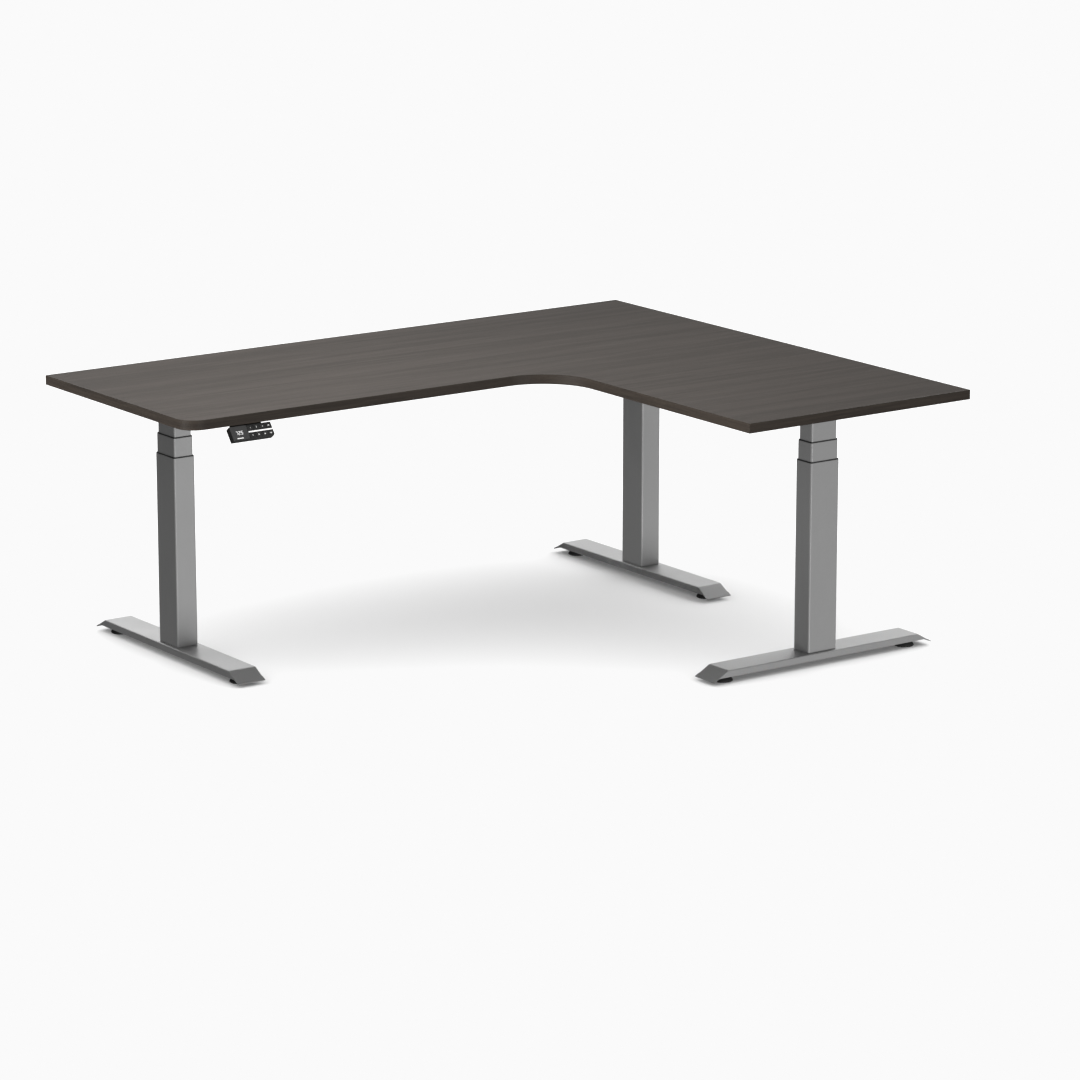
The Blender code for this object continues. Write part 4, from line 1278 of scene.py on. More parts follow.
@dataclass
class Column:
    """Three telescoping tubes on a hollow screw, turned by a hexagonal rod.

    Attributes:
        leg: The leg's frame.
        growers: The trees.
        wall: The tubes' wall thickness.
        corner: The tubes' corner radius.
        rim: The rounding of a tube's cut end.
        lead: The screw's rise in one turn.
        starts: The number of starts of its thread.
        depth: The depth of its thread.
        bore: The radius of the hole through it.
        nut_length: The length of the bronze nut in the post's top.
        rod_across: The rod's size across its flats.
    """

    leg: LegFrame
    growers: Growers
    wall: float = 0.0015
    corner: float = 0.0040
    rim: float = 0.00045
    lead: float = 0.0160
    starts: int = 4
    depth: float = 0.0012
    bore: float = 0.0070
    nut_length: float = 0.025
    rod_across: float = 0.010

    def tube(self, node: str, wall: float | None = None, finish: Finish = SILVER_POWDER) -> bpy.types.Mesh:
        """A drawn tube over a node's box, in the leg's frame.

        Args:
            node: The node's name without the leg's.
            wall: The wall thickness, where it isn't the tubes' own.
            finish: The finish that the tree sets.

        Returns:
            The tube.
        """
        low, high = self.leg.box(node)
        return self.growers.tube.grow(
            node, None, finish, Width=high.x - low.x, Depth=high.y - low.y, Corner=self.corner,
            Wall=wall or self.wall, Bottom=low.z, Top=high.z, Rim=self.rim,
        )

    def glide(self, node: str, inside: str) -> bpy.types.Mesh:
        """The glide collar on a tube's rim, filling the step to the next tube."""
        low, high = self.leg.box(node)
        inner_low, inner_high = self.leg.box(inside)
        step = ((high.x - low.x) - (inner_high.x - inner_low.x)) / 2 - HAIRLINE
        return self.tube(node, step, NYLON)

    def middle_stage(self) -> bpy.types.Mesh:
        """The middle tube with the plug in its lower end and the carrier that stands on it."""
        low, high = self.leg.box("middle_tube")
        screw_low, screw_high = self.leg.box("lead_screw")
        post_low, post_high = self.leg.box("nut_post")
        inside, top = 0.0162, screw_high.z - 0.0138
        outside = inside + 0.0028
        profile = [
            (outside, top), (outside, low.z + 0.004), (inside, low.z + 0.004), (inside, top - 0.006),
            (0.0100, top - 0.006), (0.0100, top),
        ]
        plug = [
            round_rectangle(high.x - low.x - 2 * self.wall, high.y - low.y - 2 * self.wall, 0.002),
            arc((0.0, 0.0), inside, 0, 351, 39),
        ]
        plate = prism("plug", plug, low.z + self.wall, low.z + 0.004, 0.0003)
        return joined("middle_tube", [self.tube("middle_tube"), plate, turned("carrier", profile, closed=True)])

    def inner_stage(self) -> bpy.types.Mesh:
        """The inner tube, slotted at its top for the gearbox."""
        low, high = self.leg.box("inner_tube")
        gear_low, gear_high = self.leg.box("gearbox")
        bottom = (0.0, gear_low.y - HAIRLINE, gear_low.z - HAIRLINE)
        slot = block("slot", bottom, (high.x + 0.01, gear_high.y + HAIRLINE, high.z + 0.01))
        return cut(self.tube("inner_tube"), [slot])

    def nut_post(self) -> bpy.types.Mesh:
        """The fixed post on its flange, without the nut at its top."""
        low, high = self.leg.box("nut_post")
        outer, bore = 0.0140, 0.0110
        flange = high.x
        profile = [
            (outer, high.z - self.nut_length * 0.55), (outer, low.z + 0.006), (flange, low.z + 0.006),
            (flange, low.z), (bore, low.z), (bore, high.z - self.nut_length * 0.55),
        ]
        return turned("nut_post", profile, closed=True)

    def drive_nut(self) -> bpy.types.Mesh:
        """The bronze nut in the post's top, flush with it."""
        top = self.leg.box("nut_post")[1].z
        collar, seat, bore = 0.0139, 0.0109, 0.0099
        low, step = top - self.nut_length, top - self.nut_length * 0.55 + HAIRLINE
        profile = [
            (bore, top), (collar - 0.0008, top), (collar, top - 0.0008), (collar, step), (seat, step),
            (seat, low), (bore, low),
        ]
        return turned("drive_nut", profile, closed=True)

    def lead_screw(self) -> bpy.types.Mesh:
        """The hollow screw: a head, a core with a bore, and its trapezoid thread."""
        low, high = self.leg.box("lead_screw")
        seat, radius = high.z - 0.0135, 0.0095
        core = radius - self.depth
        profile = [
            (high.x - 0.001, high.z), (high.x, high.z - 0.001), (high.x, seat + 0.0006), (high.x - 0.0006, seat),
            (core, seat), (core, low.z + 0.0006), (core - 0.0006, low.z), (self.bore, low.z), (self.bore, high.z),
        ]
        length = seat - low.z - 0.006
        thread = self.growers.thread.grow(
            "thread", None, TURNED_STEEL, Radius=radius, Depth=self.depth, Ridge=self.lead / self.starts * 0.62,
            Length=length, Turns=length / self.lead, Bottom=low.z + 0.003, Starts=self.starts, Steps=24,
        )
        return joined("lead_screw", [turned("core", profile, closed=True), thread])

    def drive_rod(self) -> bpy.types.Mesh:
        """The hexagonal rod with its ends chamfered."""
        low, high = self.leg.box("drive_rod")
        corner, chamfer = self.rod_across / 2 / math.cos(math.pi / 6), 0.0008
        profile = [
            (0.0, high.z), (corner - chamfer, high.z), (corner, high.z - chamfer), (corner, low.z + chamfer),
            (corner - chamfer, low.z), (0.0, low.z),
        ]
        return turned("drive_rod", profile, 6)

    def build(self) -> None:
        """Each stage on its own body, with the drive inside it."""
        leg = self.leg
        leg.add("column_outer_tube", self.tube("outer_tube"), SILVER_POWDER, "base", "outer_tube")
        leg.add("column_lower_glide", self.glide("lower_glide", "middle_tube"), NYLON, "base", "lower_glide")
        leg.add("column_nut_post", self.nut_post(), ZINC_PLATE, "base", "nut_post")
        leg.add("column_drive_nut", self.drive_nut(), BRONZE, "base")
        leg.add("column_middle_tube", self.middle_stage(), SILVER_POWDER, "middle_stage", "middle_tube")
        leg.add("column_upper_glide", self.glide("upper_glide", "inner_tube"), NYLON, "middle_stage", "upper_glide")
        leg.add("column_inner_tube", self.inner_stage(), SILVER_POWDER, "lifting_frame", "inner_tube")
        leg.add("column_lead_screw", self.lead_screw(), TURNED_STEEL, f"lead_screw_{leg.name}", "lead_screw")
        leg.add("column_drive_rod", self.drive_rod(), ZINC_PLATE, f"drive_rod_{leg.name}", "drive_rod")


@dataclass
class DriveUnit:
    """The gearbox over a column and the motor that lies behind it.

    Attributes:
        leg: The leg's frame.
        growers: The trees.
        relief: How far the casting's sides stand back between its ribs.
        rib: A rib's thickness.
        rib_count: The number of ribs on each side.
        bell: The length of the motor's end bell.
    """

    leg: LegFrame
    growers: Growers
    relief: float = 0.0013
    rib: float = 0.0022
    rib_count: int = 5
    bell: float = 0.018

    def gearbox(self) -> bpy.types.Mesh:
        """The casting, with its ribs, its flange and the cover under it."""
        low, high = self.leg.box("gearbox")
        back = self.relief
        outside = self.leg.box("inner_tube")[1].x + 0.006
        corner = self.rod_bore()
        core = block("core", (low.x, low.y + back, low.z + back), (high.x, high.y - back, high.z), 0.0025)
        core = cut(core, [at(turned("bore", [(0.0, 0.028), (corner, 0.028), (corner, -0.002), (0.0, -0.002)], 24), z=low.z)])
        flange = block("flange", (high.x - 0.005, low.y, low.z), high, 0.0012)
        step = Vector(((high.x - 0.011 - outside) / (self.rib_count - 1), 0.0, 0.0))
        ribs = []
        for side in (low.y, high.y - back - 0.001):
            rib = block("rib", (outside, side, low.z + 0.004), (outside + self.rib, side + back + 0.001, high.z - 0.004), 0.0005, 1)
            ribs.append(self.growers.row.grow("ribs", rib, CAST_COAT, Count=self.rib_count, Step=step))
        outline = shifted(round_rectangle(high.x - 0.006 - outside, high.y - low.y - 0.005, 0.003), (high.x - 0.006 + outside) / 2)
        cover = prism("cover", [outline], low.z, low.z + back + 0.0005, 0.0004)
        return joined("gearbox", [core, flange, cover, *ribs])

    def rod_bore(self) -> float:
        """The radius of the bore that takes the rod."""
        low, high = self.leg.box("drive_rod")
        return max(high.x - low.x, high.y - low.y) / 2 + HAIRLINE

    def motor(self) -> bpy.types.Mesh:
        """The drawn can with its beads, its front plate and its stepped end bell."""
        low, high = self.leg.box("motor")
        radius, length = (high.z - low.z) / 2, high.x - low.x
        bell = length - self.bell
        profile = [
            (0.0, length), (0.007, length), (0.0072, length - 0.0008), (0.012, length - 0.0008),
            (radius - 0.006, length - 0.0004), (radius - 0.003, length - 0.0035), (radius - 0.003, bell + 0.0014),
            (radius - 0.0012, bell + 0.0010), (radius - 0.0012, bell), (radius, bell - 0.0010),
            (radius, bell - 0.010), (radius - 0.0009, bell - 0.0112), (radius - 0.0009, bell - 0.0128), (radius, bell - 0.014),
            (radius, 0.016), (radius - 0.0009, 0.0148), (radius - 0.0009, 0.0132), (radius, 0.012),
            (radius, 0.0052), (radius - 0.0012, 0.0046), (radius - 0.0012, 0.0040), (radius - 0.0004, 0.0034),
            (radius - 0.0004, 0.0004), (radius - 0.0010, 0.0), (0.0, 0.0),
        ]
        mesh = turned("motor", softened(profile, 0.0005, 2), 64)
        middle = (low + high) / 2
        return moved(mesh, Matrix.Translation((low.x, middle.y, middle.z)) @ Axis.X.value)

    def build(self, bolts: Fasteners) -> None:
        """The gearbox, the motor and their screws."""
        self.leg.add("drive_gearbox", self.gearbox(), CAST_COAT, "lifting_frame", "gearbox")
        self.leg.add("drive_motor", self.motor(), MOTOR_LACQUER, "lifting_frame", "motor")
        low, high = self.leg.box("gearbox")
        outside = self.leg.box("inner_tube")[1].x + 0.006
        for x in (outside + 0.0045, high.x - 0.0105):
            for y in (low.y + 0.0070, high.y - 0.0070):
                bolts.add(self.leg.point(x, y, low.z), Vector((0.0, 0.0, -1.0)))
        low, high = self.leg.box("motor")
        out = self.leg.matrix.to_3x3() @ Vector((1.0, 0.0, 0.0))
        middle = (low + high) / 2
        for side in (-1, 1):
            bolts.add(self.leg.point(high.x - 0.0006, middle.y, middle.z + side * 0.0145), out)


# The frame under the board -------------------------------------------------------------------


@dataclass
class UnderFrame:
    """The brackets over the columns and the rails between them.

    Attributes:
        legs: The legs' frames.
        growers: The trees.
        sheet: The bracket's sheet thickness.
        fold: The outer radius of its folds.
        hole: The radius of its screw holes.
        hole_places: Where the holes are along it.
        rail_wall: The rails' wall thickness.
        rail_corner: The rails' corner radius.
        rail_pitch: The most that two screws of a rail are apart.
    """

    legs: Sequence[LegFrame]
    growers: Growers
    sheet: float = 0.0025
    fold: float = 0.0040
    hole: float = 0.0030
    hole_places: tuple[float, ...] = (-0.250, -0.100, 0.100, 0.250)
    rail_wall: float = 0.0015
    rail_corner: float = 0.0030
    rail_pitch: float = 0.300

    def bracket(self, leg: LegFrame) -> bpy.types.Mesh:
        """A channel folded from sheet, open below, with its screw holes.

        Args:
            leg: The leg that it belongs to.

        Returns:
            The channel in the leg's frame.
        """
        low, high = leg.box("bracket")
        half, plate = high.x, high.z - self.sheet
        outer, inner = self.fold, self.fold - self.sheet
        section = [(low.z, -half)]
        section += [(low.z, -half + self.sheet), *arc((plate - inner, -half + self.sheet + inner), inner, 270, 360, 5)]
        section += [*arc((plate - inner, half - self.sheet - inner), inner, 0, 90, 5), (low.z, half - self.sheet)]
        section += [(low.z, half), *arc((high.z - outer, half - outer), outer, 90, 0, 8)]
        section += arc((high.z - outer, -half + outer), outer, 360, 270, 8)
        section = list(reversed(section))
        channel = moved(prism("bracket", [section], low.y, high.y, 0.0003), Axis.Y.value)
        holes = []
        for y in self.hole_places:
            profile = [(0.0, high.z + 0.002), (self.hole, high.z + 0.002), (self.hole, plate - 0.002), (0.0, plate - 0.002)]
            holes.append(at(turned("hole", profile, 24), y=y))
        return cut(channel, [joined("holes", holes)])

    def rail(self, node: str) -> bpy.types.Mesh:
        """A drawn rectangular tube over a rail's box."""
        low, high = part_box(node)
        middle = (low + high) / 2
        size = high - low
        along_x = size.x > size.y
        width, depth, length = (size.y, size.z, size.x) if along_x else (size.z, size.x, size.y)
        tube = self.growers.tube.grow(
            node, None, SILVER_POWDER, Width=width, Depth=depth, Corner=self.rail_corner, Wall=self.rail_wall,
            Bottom=-length / 2, Top=length / 2, Rim=0.0003,
        )
        axis = Axis.X if along_x else Axis.Y
        return moved(tube, Matrix.Translation(middle) @ axis.value)

    def build(self, wood_screws: Fasteners) -> None:
        """The brackets, the rails and the screws that hold them to the board."""
        down = Vector((0.0, 0.0, -1.0))
        for leg in self.legs:
            leg.add("under_bracket", self.bracket(leg), SILVER_POWDER, "lifting_frame", "bracket")
            plate = leg.box("bracket")[1].z - self.sheet
            for y in self.hole_places:
                wood_screws.add(leg.point(0.0, y, plate), down)
        for node in ("rail_main_front", "rail_main_rear", "rail_return_left", "rail_return_right"):
            piece(f"under_{node}", self.rail(node), SILVER_POWDER, "lifting_frame", [node])
            low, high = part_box(node)
            size, middle = high - low, (low + high) / 2
            length = max(size.x, size.y) - 0.12
            count = max(2, math.ceil(length / self.rail_pitch) + 1)
            run = Vector((length, 0.0, 0.0)) if size.x > size.y else Vector((0.0, length, 0.0))
            for i in range(count):
                seat = middle + run * (i / (count - 1) - 0.5)
                wood_screws.add(Vector((seat.x, seat.y, low.z)), down)


@dataclass
class ControlBox:
    """The power and control box, in two half shells, with its sockets at the back.

    Attributes:
        growers: The trees.
        corner: The radius of its corners.
        seam: How far the seam is below its top.
        groove: The seam's width.
        port: A motor socket's width, height and depth.
        ports: Where the motor sockets are, from the box's right end.
        inlet: The mains inlet's width, height and depth.
        inlet_place: Where the inlet is, from the box's left end.
        vent: A vent slot's width and length.
        vent_count: The number of vent slots.
    """

    growers: Growers
    corner: float = 0.0040
    seam: float = 0.0050
    groove: float = 0.0008
    port: tuple[float, float, float] = (0.012, 0.009, 0.010)
    ports: tuple[float, ...] = (0.026, 0.052, 0.078, 0.104)
    inlet: tuple[float, float, float] = (0.027, 0.020, 0.016)
    inlet_place: float = 0.026
    vent: tuple[float, float] = (0.0026, 0.030)
    vent_count: int = 14

    def pocket(self, x: float, size: tuple[float, float, float], high: Vector, middle: float) -> bpy.types.Mesh:
        """A cutter for one socket in the back face."""
        outline = round_rectangle(size[1], size[0], 0.0012, 4)
        tool = moved(prism("pocket", [outline], -size[2], 0.002), Axis.Y.value)
        return at(tool, x, high.y, middle)

    def shell(self) -> bpy.types.Mesh:
        """Both half shells, the core seen in the seam, the sockets and the vents."""
        low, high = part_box("control_box")
        size, middle = high - low, (low + high) / 2
        outline = shifted(round_rectangle(size.x, size.y, self.corner), middle.x, middle.y)
        inset = round_rectangle(size.x - 0.002, size.y - 0.002, self.corner - 0.001)
        seam = high.z - self.seam
        lower = prism("lower", [outline], low.z, seam - self.groove / 2, 0.0009)
        upper = prism("upper", [outline], seam + self.groove / 2, high.z, 0.0003)
        core = prism("core", [shifted(inset, middle.x, middle.y)], seam - 0.002, seam + 0.002)
        tools = [self.pocket(high.x - x, self.port, high, middle.z) for x in self.ports]
        tools.append(self.pocket(low.x + self.inlet_place, self.inlet, high, middle.z))
        width, length = self.vent
        slot = prism("vent", [round_rectangle(width, length, width * 0.49, 4)], low.z - 0.001, low.z + 0.0018)
        step = width * 2.1
        slot = at(slot, middle.x - step * (self.vent_count - 1) / 2, middle.y - 0.010)
        tools.append(self.growers.row.grow("vents", slot, ABS, Count=self.vent_count, Step=Vector((step, 0.0, 0.0))))
        return joined("control_box", [cut(lower, [joined("openings", tools)]), upper, core])

    def contacts(self) -> bpy.types.Mesh:
        """The pins in the motor sockets and the three blades in the mains inlet."""
        low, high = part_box("control_box")
        middle = (low.z + high.z) / 2
        pins = []
        for x in self.ports:
            floor = high.y - self.port[2] - 0.0004
            pin = block("pin", (-0.0003, floor, -0.0003), (0.0003, floor + 0.0065, 0.0003), 0.0001, 1)
            row = self.growers.row.grow("pins", at(pin, x=-0.0035), BRASS, Count=5, Step=Vector((0.00175, 0.0, 0.0)))
            pins += [at(row.copy(), high.x - x, 0.0, middle + side * 0.0016) for side in (-1, 1)]
        for x, z in ((-0.0070, -0.0020), (0.0070, -0.0020), (0.0, 0.0020)):
            floor = high.y - self.inlet[2] - 0.0004
            blade = block("blade", (-0.0010, floor, -0.0020), (0.0010, floor + 0.0120, 0.0020), 0.0004, 2)
            pins.append(at(blade, low.x + self.inlet_place + x, 0.0, middle + z))
        return joined("control_box_contacts", pins)

    def rims(self) -> bpy.types.Mesh:
        """The raised rims round the sockets."""
        low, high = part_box("control_box")
        middle = (low.z + high.z) / 2
        places = [(high.x - x, self.port) for x in self.ports] + [(low.x + self.inlet_place, self.inlet)]
        rings = []
        for x, (width, height, _) in places:
            outlines = [round_rectangle(height + 0.0030, width + 0.0030, 0.0024, 5), round_rectangle(height, width, 0.0012, 5)]
            ring = moved(prism("rim", outlines, -0.0006, 0.0007, 0.0002), Axis.Y.value)
            rings.append(at(ring, x, high.y, middle))
        return joined("control_box_socket_rims", rings)

    def build(self, bolts: Fasteners) -> None:
        """The shell, the contacts, the rims and the screws under the box."""
        piece("control_box_shell", self.shell(), ABS, "lifting_frame", ["control_box"])
        piece("control_box_contacts", self.contacts(), BRASS, "lifting_frame")
        piece("control_box_socket_rims", self.rims(), KEY_ABS, "lifting_frame")
        low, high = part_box("control_box")
        for x in (low.x + 0.010, high.x - 0.010):
            for y in (low.y + 0.010, high.y - 0.010):
                bolts.add(Vector((x, y, low.z)), Vector((0.0, 0.0, -1.0)))


# The keypad ----------------------------------------------------------------------------------

SEGMENTS = {"1": "bc", "2": "abged", "3": "abgcd", "4": "fgbc", "5": "afgcd", "7": "abc"}


def numeral(text: str, height: float, stroke: float, slant: float = 0.12) -> list[Outline]:
    """Seven-segment numerals in a row.

    Args:
        text: Digits and points.
        height: A digit's height.
        stroke: A segment's thickness.
        slant: How far the digits lean for their height.

    Returns:
        One outline for each lit segment, the row centred on the origin.
    """
    width, gap = height * 0.50, stroke * 0.12
    half, reach = height / 2, width / 2
    ends = {
        "a": ((-reach, half), (reach, half)), "b": ((reach, half), (reach, 0.0)), "c": ((reach, 0.0), (reach, -half)),
        "d": ((-reach, -half), (reach, -half)), "e": ((-reach, 0.0), (-reach, -half)),
        "f": ((-reach, half), (-reach, 0.0)), "g": ((-reach, 0.0), (reach, 0.0)),
    }
    step = width + stroke * 3.0
    slots = [step if character != "." else stroke * 0.6 for character in text]
    x = -sum(slots) / 2
    outlines = []
    for character, slot in zip(text, slots):
        centre = x + slot / 2
        x += slot
        if character == ".":
            dot = round_rectangle(stroke, stroke, stroke * 0.3, 3)
            outlines.append(shifted(dot, centre - half * slant, -half))
            continue
        for name in SEGMENTS[character]:
            start, end = (Vector(point) for point in ends[name])
            along = (end - start).normalized()
            across = Vector((-along.y, along.x)) * stroke / 2
            start, end = start + along * gap, end - along * gap
            tip = along * stroke / 2
            corners = (start, start + tip - across, end - tip - across, end, end - tip + across, start + tip + across)
            outlines.append([(p.x + centre + p.y * slant, p.y) for p in corners])
    return outlines


@dataclass
class Keypad:
    """The control panel under the front edge, with its display and eight keys.

    Attributes:
        growers: The trees.
        corner: The radius of the housing's corners.
        low_corner: The radius of its lower right corner.
        front_depth: The depth of the front shell.
        window_corner: The radius of the window's corners.
        key_corner: The radius of the keys' corners.
        play: The gap round a key.
        proud: How far the keys and the window stand out.
        travel: How far a key goes in; not used.
    """

    growers: Growers
    corner: float = 0.0020
    low_corner: float = 0.0060
    front_depth: float = 0.0105
    window_corner: float = 0.0027
    key_corner: float = 0.0012
    play: float = 0.0003
    proud: float = 0.0003
    travel: float = 0.0008
    keys: tuple[tuple[str, Icon], ...] = (
        ("key_preset_1", Icon.ONE), ("key_preset_2", Icon.TWO), ("key_preset_3", Icon.THREE),
        ("key_preset_4", Icon.FOUR), ("key_save", Icon.SAVE), ("key_lock", Icon.LOCK), ("key_up", Icon.UP),
        ("key_down", Icon.DOWN),
    )

    def __post_init__(self) -> None:
        """Find the face's own frame from the way the keys go in."""
        press = next(joint for joint in frame["joints"] if joint["child"] == self.keys[0][0])
        self.out = -Vector(press["axis"]).normalized()
        self.up = self.out.cross(Vector((1.0, 0.0, 0.0)))
        low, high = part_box("keypad_housing")
        self.length = high.x - low.x
        tall, deep = high.z - low.z, high.y - low.y
        slope = self.up.z**2 - self.up.y**2
        self.height = (tall * self.up.z - deep * self.up.y) / slope
        self.thickness = (deep * self.up.z - tall * self.up.y) / slope
        middle = (low + high) / 2 + self.out * self.thickness / 2
        turn = Matrix((Vector((1.0, 0.0, 0.0)), self.up, self.out)).transposed().to_4x4()
        self.matrix = Matrix.Translation(middle) @ turn

    def spot(self, node: str) -> tuple[float, float, float, float]:
        """Where a flat node lies on the face.

        Args:
            node: The node's name.

        Returns:
            The middle's x and y on the face, then the node's length and height.
        """
        low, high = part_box(node)
        middle = self.matrix.inverted() @ ((low + high) / 2)
        thickness = (high.y - low.y - (high.z - low.z) * self.up.y / self.up.z) / (self.up.z - self.up.y**2 / self.up.z)
        return middle.x, middle.y, high.x - low.x, (high.z - low.z - thickness * self.up.y) / self.up.z

    def add(self, name: str, mesh: bpy.types.Mesh, finish: Finish, body: str = "lifting_frame", *nodes: str) -> None:
        """Put a mesh made on the face in its place, as a piece."""
        piece(name, moved(mesh, self.matrix), finish, body, nodes)

    def outline(self, inset: float = 0.0) -> Outline:
        """The housing's outline, anticlockwise, its lower right corner the roundest."""
        x, y = self.length / 2 - inset, self.height / 2 - inset
        points = []
        corners = ((1, 1, self.corner), (-1, 1, self.corner), (-1, -1, self.corner), (1, -1, self.low_corner))
        for i, (a, b, radius) in enumerate(corners):
            radius -= inset
            points += arc((a * (x - radius), b * (y - radius)), radius, 90 * i, 90 * i + 90, 6)
        return points

    def housing(self) -> bpy.types.Mesh:
        """The front shell with its openings, the seam and the rear shell."""
        seam = -self.front_depth
        front = prism("front", [self.outline()], seam, 0.0, 0.0009)
        core = prism("core", [self.outline(0.0009)], seam - 0.002, seam + 0.002)
        rear = prism("rear", [self.outline(0.0003)], -self.thickness, seam - 0.0005, 0.0012)
        x, y, length, height = self.spot("keypad_window")
        gap = 2 * HAIRLINE
        window = round_rectangle(length + gap, height + gap, self.window_corner + HAIRLINE)
        tools = [at(prism("window", [window], -0.0012, 0.001), x, y)]
        x, y, length, height = self.spot("keypad_strip")
        tools.append(at(prism("strip", [round_rectangle(length + gap, height + gap, height * 0.49)], -0.0012, 0.001), x, y))
        for node, _ in self.keys:
            x, y, length, height = self.spot(node)
            hole = round_rectangle(length + 2 * self.play, height + 2 * self.play, self.key_corner + self.play)
            tools.append(at(prism("key", [hole], -0.0024, 0.001), x, y))
        return joined("keypad_housing", [cut(front, [joined("openings", tools)]), core, rear])

    def flat(self, outlines: Sequence[Outline], thickness: float, base: float) -> bpy.types.Mesh:
        """Printed marks: each outline raised from the surface that it lies on."""
        marks = [prism("mark", [outline], base - thickness / 2, base + thickness) for outline in outlines]
        return joined("marks", marks)

    def icon(self, kind: Icon) -> list[Outline]:
        """The outlines of a key's mark, centred on the key."""
        if kind in (Icon.ONE, Icon.TWO, Icon.THREE, Icon.FOUR):
            return numeral(kind.value, 0.0031, 0.00062, 0.0)
        if kind is Icon.SAVE:
            tag = [(-0.0012, 0.0016), (-0.0012, -0.0016), (0.0, -0.0006), (0.0012, -0.0016), (0.0012, 0.0016)]
            return [tag]
        if kind is Icon.LOCK:
            body = shifted(round_rectangle(0.0030, 0.0021, 0.0004, 3), y=-0.0006)
            shackle = arc((0.0, 0.0006), 0.0011, 0, 180, 10) + arc((0.0, 0.0006), 0.0007, 180, 0, 10)
            return [body, shackle]
        way = 1.0 if kind is Icon.UP else -1.0
        head = [(-0.0025, -0.0008 * way), (0.0, 0.0020 * way), (0.0025, -0.0008 * way)]
        tail = [(0.0014, -0.0018 * way), (0.0, -0.0001 * way), (-0.0014, -0.0018 * way)]
        chevron = [*head[:2], head[2], tail[0], tail[1], tail[2]]
        return [chevron if way < 0 else list(reversed(chevron))]

    def hanger(self) -> bpy.types.Mesh:
        """The bent plate behind the housing, screwed to the board."""
        low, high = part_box("keypad_hanger")
        sheet, down = 0.002, -self.up
        edge = self.matrix @ Vector((0.0, self.height / 2, -self.thickness - HAIRLINE))
        bend = edge - down * ((high.z - edge.z) / -down.z)
        bottom = edge + down * ((edge.z - low.z - sheet * self.out.z) / -down.z)
        ends = [bottom, bend, Vector((0.0, high.y, high.z))]

        def fold(bm: bmesh.types.BMesh) -> None:
            """Lay the strip along the three heights, with its outer corners rounded."""
            rows = [[bm.verts.new((x, p.y, p.z)) for x in (low.x, high.x)] for p in ends]
            for near, far in zip(rows, rows[1:]):
                bm.faces.new((near[0], near[1], far[1], far[0]))
            corners = [*rows[0], *rows[2]]
            bmesh.ops.bevel(bm, geom=corners, offset=0.006, segments=5, affect="VERTICES", profile=0.5)
            if sum(face.normal.z for face in bm.faces) < 0:
                bmesh.ops.reverse_faces(bm, faces=bm.faces)

        strip = eased(shaped("keypad_hanger", fold), 0.003, 5, 20.0)
        strip = modified(strip, "SOLIDIFY", thickness=sheet, offset=-1.0, use_even_offset=True, use_quality_normals=True)
        return eased(strip, 0.0003, 1, 60.0)

    def build(self, bolts: Fasteners) -> None:
        """The housing, what shows on it, the keys with their marks, and the hanger."""
        self.add("keypad_shell", self.housing(), ABS, "lifting_frame", "keypad_housing")
        x, y, length, height = self.spot("keypad_window")
        low = self.proud - 0.0012
        window = at(prism("window", [round_rectangle(length, height, self.window_corner)], low, self.proud, 0.00025), x, y)
        self.add("keypad_display_window", window, SMOKED_ACRYLIC, "lifting_frame", "keypad_window")
        digits = at(self.flat(numeral("72.5", 0.0086, 0.0009, 0.16), 0.00006, self.proud), x, y)
        digits = at(digits, x=-0.0010, y=-0.0002)
        self.add("keypad_display_digits", digits, LED_SEGMENT)
        # The bar's ink carries a painted glow.
        bar = self.flat([shifted(round_rectangle(0.018, 0.0022, 0.0008, 4), x - 0.003, y - 0.0145)], 0.00005, self.proud)
        self.add("keypad_printed_bar", bar, WHITE_INK)
        # The strip's opal acrylic carries a painted glow that keeps it bright white.
        x, y, length, height = self.spot("keypad_strip")
        strip = at(prism("strip", [round_rectangle(length, height, height * 0.49)], low, self.proud, 0.0003), x, y)
        self.add("keypad_light_strip", strip, OPAL_ACRYLIC, "lifting_frame", "keypad_strip")
        for node, kind in self.keys:
            x, y, length, height = self.spot(node)
            cap = prism("cap", [round_rectangle(length, height, self.key_corner)], self.proud - 0.0016, self.proud, 0.0004)
            self.add(f"{node}_cap", at(cap, x, y), KEY_ABS, node, node)
            # The marks' ink carries a painted glow.
            self.add(f"{node}_icon", at(self.flat(self.icon(kind), 0.00005, self.proud), x, y), WHITE_INK, node)
        piece("keypad_hanger_plate", self.hanger(), BLACK_POWDER, "lifting_frame", ["keypad_hanger"])
        low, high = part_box("keypad_hanger")
        for x in (low.x + 0.015, high.x - 0.015):
            bolts.add(Vector((x, high.y - 0.012, high.z - 0.002)), Vector((0.0, 0.0, -1.0)))


# The studio ----------------------------------------------------------------------------------


